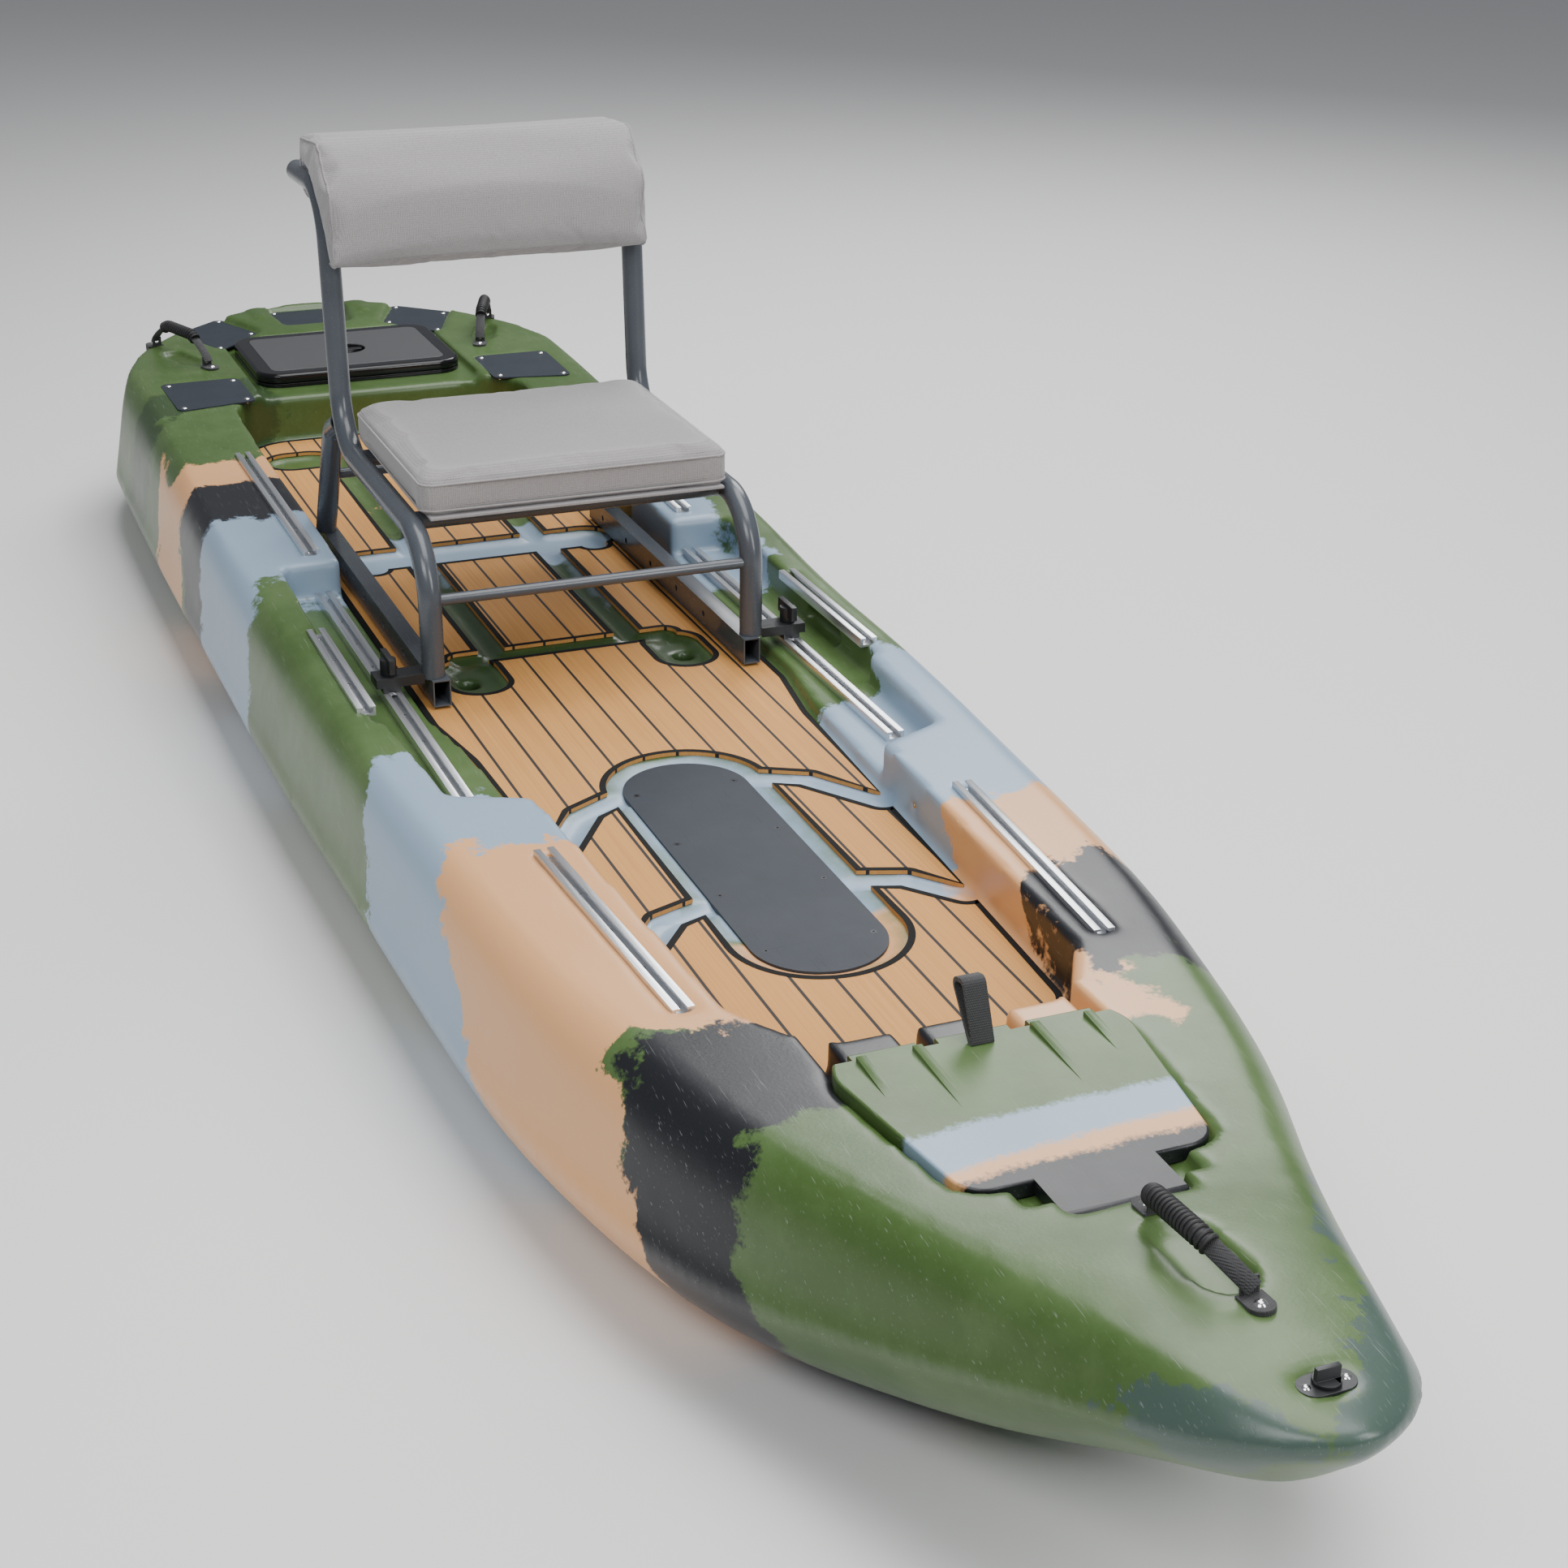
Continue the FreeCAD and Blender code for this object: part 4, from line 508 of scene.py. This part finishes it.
def eased(node, material, width):
    """A hard piece with its edges eased, in place of its CAD node."""
    mesh = node_mesh(node)
    work = bmesh.new()
    work.from_mesh(mesh)
    bmesh.ops.dissolve_limit(work, angle_limit=math.radians(1.0), verts=work.verts,
                             edges=work.edges)
    work.to_mesh(mesh)
    work.free()
    piece = new_piece(node + "_eased", mesh, material, body_of_node(node), slot_of_node(node), node)
    if width:
        edge = piece.modifiers.new("edge", "BEVEL")
        edge.width = width
        edge.segments = 2
        edge.angle_limit = math.radians(40)
        baked(piece)
    smooth(piece.data)
    for face in piece.data.polygons:
        if len(face.vertices) > 4:
            face.use_smooth = False


# ------------------------------------------------------------------ moulded hull
def within(point, low, high, margin=0.0):
    return all(a - margin <= v <= b + margin for v, a, b in zip(point, low, high))


def outer_surface():
    """The hull's outside as a closed mesh: its inside is left out and its hatch holes capped."""
    work = bmesh.new()
    work.from_mesh(node_mesh("hull"))
    doomed = []
    for low, high in (BOW_HOLE, STERN_HOLE):
        bottom = (low[0], low[1], low[2] - HOLE_WALL)
        for face in work.faces:
            centre = face.calc_center_median()
            if abs(face.normal.z) < 0.3 and within(centre, bottom, high, 0.0008):
                doomed.append(face)
    bmesh.ops.delete(work, geom=doomed, context="FACES")
    work.verts.ensure_lookup_table()
    tip = max(work.verts, key=lambda v: v.co.x)
    kept, edge = {tip}, [tip]
    while edge:
        vert = edge.pop()
        for link in vert.link_edges:
            other = link.other_vert(vert)
            if other not in kept:
                kept.add(other)
                edge.append(other)
    bmesh.ops.delete(work, geom=[v for v in work.verts if v not in kept], context="VERTS")
    rims = [e for e in work.edges if e.is_boundary]
    bmesh.ops.holes_fill(work, edges=rims, sides=0)
    mesh = bpy.data.meshes.new("hull_outside")
    work.to_mesh(mesh)
    work.free()
    return mesh


def hull_skin():
    """The hull's outside, evened and relaxed, open at its hatches and in parts along its length."""
    whole = linked("hull_whole", outer_surface())
    remesh = whole.modifiers.new("even", "REMESH")
    remesh.mode = "VOXEL"
    remesh.voxel_size = SKIN_VOXEL
    relax = whole.modifiers.new("relax", "SMOOTH")
    relax.factor = 0.5
    relax.iterations = SKIN_SMOOTHING
    mesh = baked(whole)
    work = bmesh.new()
    work.from_mesh(mesh)
    open_faces = []
    for face in work.faces:
        centre = face.calc_center_median()
        if face.normal.z > 0.7:
            for low, high in (BOW_HOLE, STERN_HOLE):
                if within(centre, low, high, 0.004) and within(centre[:2], low, high, -0.002):
                    open_faces.append(face)
    bmesh.ops.delete(work, geom=open_faces, context="FACES")
    order = sorted(face.calc_center_median().x for face in work.faces)
    cuts = [order[len(order) * i // SKIN_PARTS] for i in range(1, SKIN_PARTS)]
    for part in range(SKIN_PARTS):
        piece = work.copy()
        low = cuts[part - 1] if part else -FAR
        high = cuts[part] if part < SKIN_PARTS - 1 else FAR
        gone = [f for f in piece.faces if not low <= f.calc_center_median().x < high]
        bmesh.ops.delete(piece, geom=gone, context="FACES")
        made = bpy.data.meshes.new(f"hull_skin_{part + 1}")
        piece.to_mesh(made)
        piece.free()
        made.polygons.foreach_set("use_smooth", [True] * len(made.polygons))
        new_piece(f"hull_skin_{part + 1}", made, HULL, "hull", "hull_plastic", "hull")
    work.free()
    bpy.data.objects.remove(whole)


# ------------------------------------------------------------------ deck pads
def deck_pads():
    """Planked pads with a plain black edging on top, all round each one."""
    for node in ("pad_front", "pad_middle", "pad_rear"):
        mesh = node_mesh(node)
        work = bmesh.new()
        work.from_mesh(mesh)
        top = max(v.co.z for v in work.verts)
        tops = {f for f in work.faces if f.normal.z > 0.9 and f.calc_center_median().z > top - 1e-4}
        for face in work.faces:
            face.material_index = 0 if face in tops else 1
        work.to_mesh(mesh)
        follows, inward = {}, {}
        for face in tops:
            for loop in face.loops:
                others = [f for f in loop.edge.link_faces if f not in tops]
                if others:
                    a, b = loop.vert, loop.link_loop_next.vert
                    follows[a] = b
                    step = (b.co - a.co).normalized()
                    side = Vector((-step.y, step.x, 0))
                    inward.setdefault(a, []).append(side)
                    inward.setdefault(b, []).append(side)
        border = bmesh.new()
        rims = {}
        for vert, sides in inward.items():
            total = sides[0] + sides[-1]
            reach = PAD_BORDER * 2 / max(total.length_squared, 1.6)
            lift = Vector((0, 0, 0.0003))
            rims[vert] = (border.verts.new(vert.co + lift),
                          border.verts.new(vert.co + total * reach + lift))
        for a, b in follows.items():
            border.faces.new((rims[a][0], rims[b][0], rims[b][1], rims[a][1]))
        edging = bpy.data.meshes.new(node + "_edging")
        border.to_mesh(edging)
        border.free()
        work.free()
        piece = new_piece(node + "_planked", mesh, None, "hull", "deck_foam", node)
        mesh.materials.clear()
        mesh.materials.append(PLANKS)
        mesh.materials.append(BLACK_FOAM)
        new_piece(node + "_edging", edging, BLACK_FOAM, "hull", "deck_foam")


# ------------------------------------------------------------------ repeats along a path
def path_tree(name, floats, build):
    """A geometry tree with a path in, named sizes and a mesh out."""
    tree = bpy.data.node_groups.new(name, "GeometryNodeTree")
    tree.interface.new_socket("Geometry", in_out="INPUT", socket_type="NodeSocketGeometry")
    for label, value in floats.items():
        kind = "NodeSocketInt" if isinstance(value, int) else "NodeSocketFloat"
        tree.interface.new_socket(label, in_out="INPUT", socket_type=kind).default_value = value
    tree.interface.new_socket("Geometry", in_out="OUTPUT", socket_type="NodeSocketGeometry")
    given = tree.nodes.new("NodeGroupInput").outputs
    result = tree.nodes.new("NodeGroupOutput").inputs
    tree.links.new(build(tree, given), result["Geometry"])
    return tree


def ribbed_sleeve(tree, given):
    """A sleeve round the path with rings at an even pitch."""
    curve = add(tree, "GeometryNodeMeshToCurve", {"Mesh": given["Geometry"]}).outputs[0]
    core = add(tree, "GeometryNodeCurvePrimitiveCircle", {"Radius": given["Sleeve radius"],
                                                          "Resolution": 20}).outputs[0]
    sleeve = add(tree, "GeometryNodeCurveToMesh", {"Curve": curve, "Profile Curve": core,
                                                   "Fill Caps": True}).outputs[0]
    points = add(tree, "GeometryNodeResampleCurve", {"Curve": curve,
                                                     "Count": given["Rings"]}).outputs[0]
    tangent = add(tree, "GeometryNodeInputTangent").outputs[0]
    turn = add(tree, "FunctionNodeAlignRotationToVector", {"Vector": tangent},
               axis="Z").outputs[0]
    loop = add(tree, "GeometryNodeCurvePrimitiveCircle", {"Radius": given["Sleeve radius"],
                                                          "Resolution": 20}).outputs[0]
    bead = add(tree, "GeometryNodeCurvePrimitiveCircle", {"Radius": given["Ring radius"],
                                                          "Resolution": 8}).outputs[0]
    ring = add(tree, "GeometryNodeCurveToMesh", {"Curve": loop, "Profile Curve": bead}).outputs[0]
    rings = add(tree, "GeometryNodeInstanceOnPoints", {"Points": points, "Instance": ring,
                                                       "Rotation": turn}).outputs[0]
    both = add(tree, "GeometryNodeJoinGeometry")
    tree.links.new(rings, both.inputs[0])
    tree.links.new(sleeve, both.inputs[0])
    real = add(tree, "GeometryNodeRealizeInstances", {0: both.outputs[0]}).outputs[0]
    return add(tree, "GeometryNodeSetMaterial", {"Geometry": real, "Material": RUBBER}).outputs[0]


def stitch_row(tree, given):
    """Short threads laid end to end along the path."""
    curve = add(tree, "GeometryNodeMeshToCurve", {"Mesh": given["Geometry"]}).outputs[0]
    points = add(tree, "GeometryNodeResampleCurve", {"Curve": curve,
                                                     "Count": given["Stitches"]}).outputs[0]
    tangent = add(tree, "GeometryNodeInputTangent").outputs[0]
    turn = add(tree, "FunctionNodeAlignRotationToVector", {"Vector": tangent},
               axis="X").outputs[0]
    bead = add(tree, "GeometryNodeMeshIcoSphere", {"Radius": given["Thread radius"],
                                                   "Subdivisions": 1}).outputs[0]
    stretch = add(tree, "ShaderNodeCombineXYZ", {"X": given["Stretch"], "Y": 1.0,
                                                 "Z": 1.0}).outputs[0]
    threads = add(tree, "GeometryNodeInstanceOnPoints", {"Points": points, "Instance": bead,
                                                         "Rotation": turn,
                                                         "Scale": stretch}).outputs[0]
    real = add(tree, "GeometryNodeRealizeInstances", {0: threads}).outputs[0]
    return add(tree, "GeometryNodeSetMaterial", {"Geometry": real, "Material": CLOTH}).outputs[0]


SLEEVE = path_tree("ribbed_sleeve", SLEEVE_SIZES, ribbed_sleeve)
STITCHES = path_tree("stitch_row", STITCH_SIZES, stitch_row)


def path_mesh(name, points, closed=False):
    mesh = bpy.data.meshes.new(name)
    edges = [(i, i + 1) for i in range(len(points) - 1)]
    if closed:
        edges.append((len(points) - 1, 0))
    mesh.from_pydata([tuple(p) for p in points], edges, [])
    return mesh


def follow(name, points, tree, sizes, body, slot, nodes=(), closed=False):
    """A piece that a geometry tree grows along a path, turned into a plain mesh."""
    piece = new_piece(name, path_mesh(name, points, closed), None, body, slot, *nodes)
    grow = piece.modifiers.new("grow", "NODES")
    grow.node_group = tree
    for item in tree.interface.items_tree:
        if item.in_out == "INPUT" and item.name in sizes:
            grow[item.identifier] = sizes[item.name]
    smooth(baked(piece), 50.0)


# ------------------------------------------------------------------ handles
def joint_named(name):
    return next(j for j in frame["record"]["behaviour"]["joints"] if j["name"] == name)


def band_mesh(name, points, across, width, thick):
    """A flat strap with rounded edges that follows points, with its width along a direction."""
    work = bmesh.new()
    rings = []
    for i, point in enumerate(points):
        ahead = (points[min(i + 1, len(points) - 1)] - points[max(i - 1, 0)]).normalized()
        side = across.normalized()
        out = ahead.cross(side).normalized()
        half, t = width / 2, thick / 2
        outline = [(-half + t, -t), (half - t, -t), (half, 0), (half - t, t), (-half + t, t),
                   (-half, 0)]
        rings.append([work.verts.new(point + side * a + out * b) for a, b in outline])
    for near, far in zip(rings, rings[1:]):
        for k in range(6):
            work.faces.new((near[k], near[(k + 1) % 6], far[(k + 1) % 6], far[k]))
    work.faces.new(rings[0][::-1])
    work.faces.new(rings[-1])
    bmesh.ops.recalc_face_normals(work, faces=work.faces)
    mesh = bpy.data.meshes.new(name)
    work.to_mesh(mesh)
    work.free()
    smooth(mesh, 60.0)
    return mesh


def carry_handles():
    """Flat webbing that arches between each handle's tabs, with a ribbed grip on its middle."""
    for side, span in HANDLE_SPANS.items():
        joint = joint_named(side + "_handle_swing")
        along = Vector(joint["axis"]).normalized()
        start = Vector(joint["pos_m"])
        lean = math.radians(BOW_HANDLE_LEAN if side == "bow" else 0.0)
        up = Matrix.Rotation(lean, 3, along) @ (Vector((0, 0, 1)) - along * along.z).normalized()
        across = along.cross(up)
        points = []
        for i in range(STRAP_STEPS + 1):
            u = i / STRAP_STEPS
            s = STRAP_END + u * (span - 2 * STRAP_END)
            rise = HANDLE_RISE * min(1.0, 1.18 * math.sin(math.pi * u) ** 0.75)
            points.append(start + along * s + up * rise)
        strap = band_mesh(f"{side}_handle_webbing", points, across, WEBBING_WIDTH, WEBBING_THICK)
        new_piece(f"{side}_handle_webbing", strap, WEBBING, side + "_handle", "webbing",
                  "handle_strap_" + side)
        follow(f"{side}_handle_sleeve", points[STRAP_BARE:-STRAP_BARE], SLEEVE, SLEEVE_SIZES,
               side + "_handle", "black_rubber", ["handle_grip_" + side])


# ------------------------------------------------------------------ cushions
def stuffed(node, cap, shrink):
    """A padded piece: its cover swells under pressure and no point moves further than the cap."""
    piece = new_piece(node + "_stuffed", node_mesh(node), None, body_of_node(node),
                      "seat_fabric", node)
    low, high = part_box(node)
    even = piece.modifiers.new("even", "REMESH")
    even.mode = "VOXEL"
    even.voxel_size = CLOTH_VOXEL
    relax = piece.modifiers.new("relax", "SMOOTH")
    relax.iterations = 3
    mesh = baked(piece)
    centre = (Vector(low) + Vector(high)) / 2
    start = []
    for vert in mesh.vertices:
        vert.co -= vert.normal * shrink
        start.append(vert.co.copy())
    cloth = piece.modifiers.new("cloth", "CLOTH")
    cloth.settings.use_pressure = True
    cloth.settings.uniform_pressure_force = CLOTH_PRESSURE
    cloth.settings.effector_weights.gravity = 0.0
    cloth.settings.tension_stiffness = 15.0
    cloth.settings.bending_stiffness = 0.5
    scene = bpy.context.scene
    cloth.point_cache.frame_end = CLOTH_STEPS
    for step in range(1, CLOTH_STEPS + 1):
        scene.frame_set(step)
        bpy.context.view_layer.update()
    mesh = baked(piece)
    scene.frame_set(1)
    for vert, before in zip(mesh.vertices, start):
        move = vert.co - before
        if move.length > cap:
            vert.co = before + move.normalized() * cap
    finer = piece.modifiers.new("finer", "SUBSURF")
    finer.levels = finer.render_levels = 1
    mesh = baked(piece)
    mesh.materials.clear()
    mesh.materials.append(CLOTH)
    mesh.polygons.foreach_set("use_smooth", [True] * len(mesh.polygons))
    return piece


def rounded_loop(low, high, inset, radius, z, steps=8):
    """Points round a rounded rectangle at one height."""
    x0, x1 = low[0] + inset + radius, high[0] - inset - radius
    y0, y1 = low[1] + inset + radius, high[1] - inset - radius
    points = []
    for cx, cy, first in ((x1, y1, 0), (x0, y1, 90), (x0, y0, 180), (x1, y0, 270)):
        for k in range(steps + 1):
            a = math.radians(first + 90 * k / steps)
            points.append(Vector((cx + radius * math.cos(a), cy + radius * math.sin(a), z)))
    return points


def seam_cord(name, points, body):
    """A closed cord of piping through the points."""
    curve = bpy.data.curves.new(name, "CURVE")
    curve.dimensions = "3D"
    curve.bevel_depth = SEAM_RADIUS
    curve.bevel_resolution = 2
    spline = curve.splines.new("POLY")
    spline.points.add(len(points) - 1)
    for point, at in zip(spline.points, points):
        point.co = (*at, 1)
    spline.use_cyclic_u = True
    shape = linked(name + "_line", curve)
    graph = bpy.context.evaluated_depsgraph_get()
    mesh = bpy.data.meshes.new_from_object(shape.evaluated_get(graph))
    bpy.data.objects.remove(shape)
    smooth(mesh, 60.0)
    new_piece(name, mesh, CLOTH, body, "seat_fabric")


def snapped(points, piece, lift):
    """The points moved onto the nearest place of a piece's surface."""
    placed = []
    for point in points:
        _, spot, normal, _ = piece.closest_point_on_mesh(point)
        placed.append(spot + normal * lift)
    return placed


def chair_cushions():
    """Both cushions with their piping and stitches."""
    seat = stuffed("seat_cushion", SEAT_SWELL, SEAT_SHRINK)
    low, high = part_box("seat_cushion")
    for label, z in (("top", high[2] - 0.004), ("bottom", low[2] + 0.004)):
        loop = snapped(rounded_loop(low, high, 0.003, 0.026, z), seat, SEAM_LIFT)
        seam_cord(f"seat_seam_{label}", loop, "chair")
        row = snapped(rounded_loop(low, high, 0.010 if label == "top" else 0.0, 0.026,
                                   z + (0.01 if label == "top" else 0.009)), seat,
                      STITCH_LIFT)
        follow(f"seat_stitches_{label}", row, STITCHES, STITCH_SIZES, "chair", "seat_fabric",
               closed=True)
    back = stuffed("back_cushion", BACK_SWELL, BACK_SHRINK)
    low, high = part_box("back_cushion")
    for side, y in (("port", high[1] - 0.004), ("starboard", low[1] + 0.004)):
        loop = []
        for i, (x, z) in enumerate(BACK_PROFILE):
            bx, bz = BACK_PROFILE[i - 1]
            loop += [Vector((bx + (x - bx) * k / 12, y, bz + (z - bz) * k / 12))
                     for k in range(12)]
        loop = snapped(loop, back, SEAM_LIFT)
        loop = [p for p, q in zip(loop, loop[1:] + loop[:1]) if (p - q).length > 0.002]
        seam_cord(f"back_seam_{side}", loop, "chair")
    row = [Vector((low[0] + 0.19, low[1] + 0.012 + k * (high[1] - low[1] - 0.024) / 40,
                   low[2] + 0.010)) for k in range(41)]
    follow("back_stitches", snapped(row, back, STITCH_LIFT), STITCHES,
           STITCH_SIZES | {"Stitches": BACK_STITCHES}, "chair", "seat_fabric")


# ------------------------------------------------------------------ hard pieces
TRACKS = [f"track_{name}_{side}" for name in ("fore", "mid", "rear", "seat")
          for side in ("port", "starboard")]
HARD_PIECES = {                                # finish, and how far the edges are eased
    "cover_plate": (BOARD, 0.0008), "cover_screws": (DARK_STEEL, 0.0),
    "track_screws": (STEEL, 0.0003), "plates_front": (BOARD, 0.0006),
    "plates_rear": (BOARD, 0.0006), "plate_centre": (BOARD, 0.0006),
    "plate_rivets": (STEEL, 0.0), "wall_inserts": (BRASS, 0.0003),
    "stern_hatch_frame": (GLOSS, 0.001), "stern_hatch_lid": (GLOSS, 0.0012),
    "stern_hatch_seal": (RUBBER, 0.0), "stern_hatch_panel": (LATTICE, 0.001),
    "stern_latch_handle": (GLOSS, 0.0014), "stern_latch_cam": (GLOSS, 0.0008),
    "stern_bin": (DARK, 0.001), "stern_hatch_pins": (STEEL, 0.0004),
    "bow_lid": (LID, 0.0016), "bow_hinge_pin": (STEEL, 0.0004), "bow_seal": (RUBBER, 0.0),
    "bow_bin": (DARK, 0.001), "bow_pull_strap": (WEBBING, 0.0006),
    "handle_tabs": (WEBBING, 0.0008), "drain_flange": (DARK, 0.0008),
    "drain_seal": (RUBBER, 0.0), "drain_plug": (DARK, 0.0006), "deck_screws": (STEEL, 0.0),
    "chair_side_port": (TUBE_PAINT, 0.0), "chair_side_starboard": (TUBE_PAINT, 0.0),
    "chair_rear_legs": (TUBE_PAINT, 0.0), "chair_seat_bars": (TUBE_PAINT, 0.0),
    "chair_lower_bars": (TUBE_PAINT, 0.0), "chair_base_rails": (TUBE_PAINT, 0.001),
    "chair_feet": (RUBBER, 0.0008), "chair_end_caps": (DARK, 0.0008),
    "clamp_arms": (DARK, 0.0016), "clamp_bolts": (STEEL, 0.0004),
    "clamp_knob_port": (DARK, 0.0014), "clamp_knob_starboard": (DARK, 0.0014),
    "seat_pan": (CLOTH, 0.0006),
}
HARD_PIECES.update({track: (ALUMINIUM, 0.0005) for track in TRACKS})


# ------------------------------------------------------------------ studio
# name, place, target, size, power in watts
LAMPS = (
    ("key_softbox", (3.2, -2.4, 3.6), (0.6, 0, 0.2), (2.4, 1.6), 100),
    ("bow_strip", (3.6, 1.4, 2.2), (1.4, 0, 0.25), (0.7, 2.2), 60),
    ("stern_softbox", (-3.0, 2.6, 3.4), (-0.6, 0, 0.3), (2.2, 2.2), 110),
    ("top_softbox", (0.0, 0.6, 4.2), (0, 0, 0), (4.5, 2.6), 220),
)


def camera():
    heading, dip, roll = (math.radians(a) for a in CAMERA_TURN)
    ahead = Vector((-math.cos(heading) * math.cos(dip), -math.sin(heading) * math.cos(dip),
                    -math.sin(dip)))
    right = Vector((-math.sin(heading), math.cos(heading), 0))
    up = right.cross(ahead)
    side = right * math.cos(roll) + up * math.sin(roll)
    top = up * math.cos(roll) - right * math.sin(roll)
    turn = Matrix((side, top, -ahead)).transposed()
    data = bpy.data.cameras.new("camera")
    data.lens = CAMERA_LENS
    data.sensor_width = 36.0
    data.clip_end = 60.0
    eye = linked("camera", data)
    eye.matrix_world = Matrix.Translation(CAMERA_PLACE) @ turn.to_4x4()
    bpy.context.scene.camera = eye


def lamp(name, place_at, target, size, power):
    data = bpy.data.lights.new(name, "AREA")
    data.shape = "RECTANGLE"
    data.size, data.size_y = size
    data.energy = power
    lit = linked(name, data)
    lit.location = place_at
    lit.rotation_euler = (Vector(target) - Vector(place_at)).to_track_quat("-Z", "Y").to_euler()


def studio():
    mesh = bpy.data.meshes.new("studio_floor")
    signs = ((-1, -1), (1, -1), (1, 1), (-1, 1))
    mesh.from_pydata([(x * FLOOR_REACH, y * FLOOR_REACH, 0) for x, y in signs], [],
                     [(0, 1, 2, 3)])
    ground = linked("studio_floor", mesh)
    paper = bpy.data.materials.new("studio_paper")
    paper.use_nodes = True
    shader = node_of(paper.node_tree, "BSDF_PRINCIPLED")
    shader.inputs["Base Color"].default_value = FLOOR_PAPER
    shader.inputs["Roughness"].default_value = 0.9
    mesh.materials.append(paper)
    world = bpy.data.worlds.new("studio_air")
    world.use_nodes = True
    sky = node_of(world.node_tree, "BACKGROUND")
    sky.inputs[0].default_value = (0.9, 0.93, 1.0, 1)
    sky.inputs[1].default_value = 0.23
    bpy.context.scene.world = world
    for lamp_row in LAMPS:
        lamp(*lamp_row)


camera()
studio()
hull_skin()
deck_pads()
for node_name, (finish, ease) in HARD_PIECES.items():
    eased(node_name, finish, ease)
carry_handles()
chair_cushions()
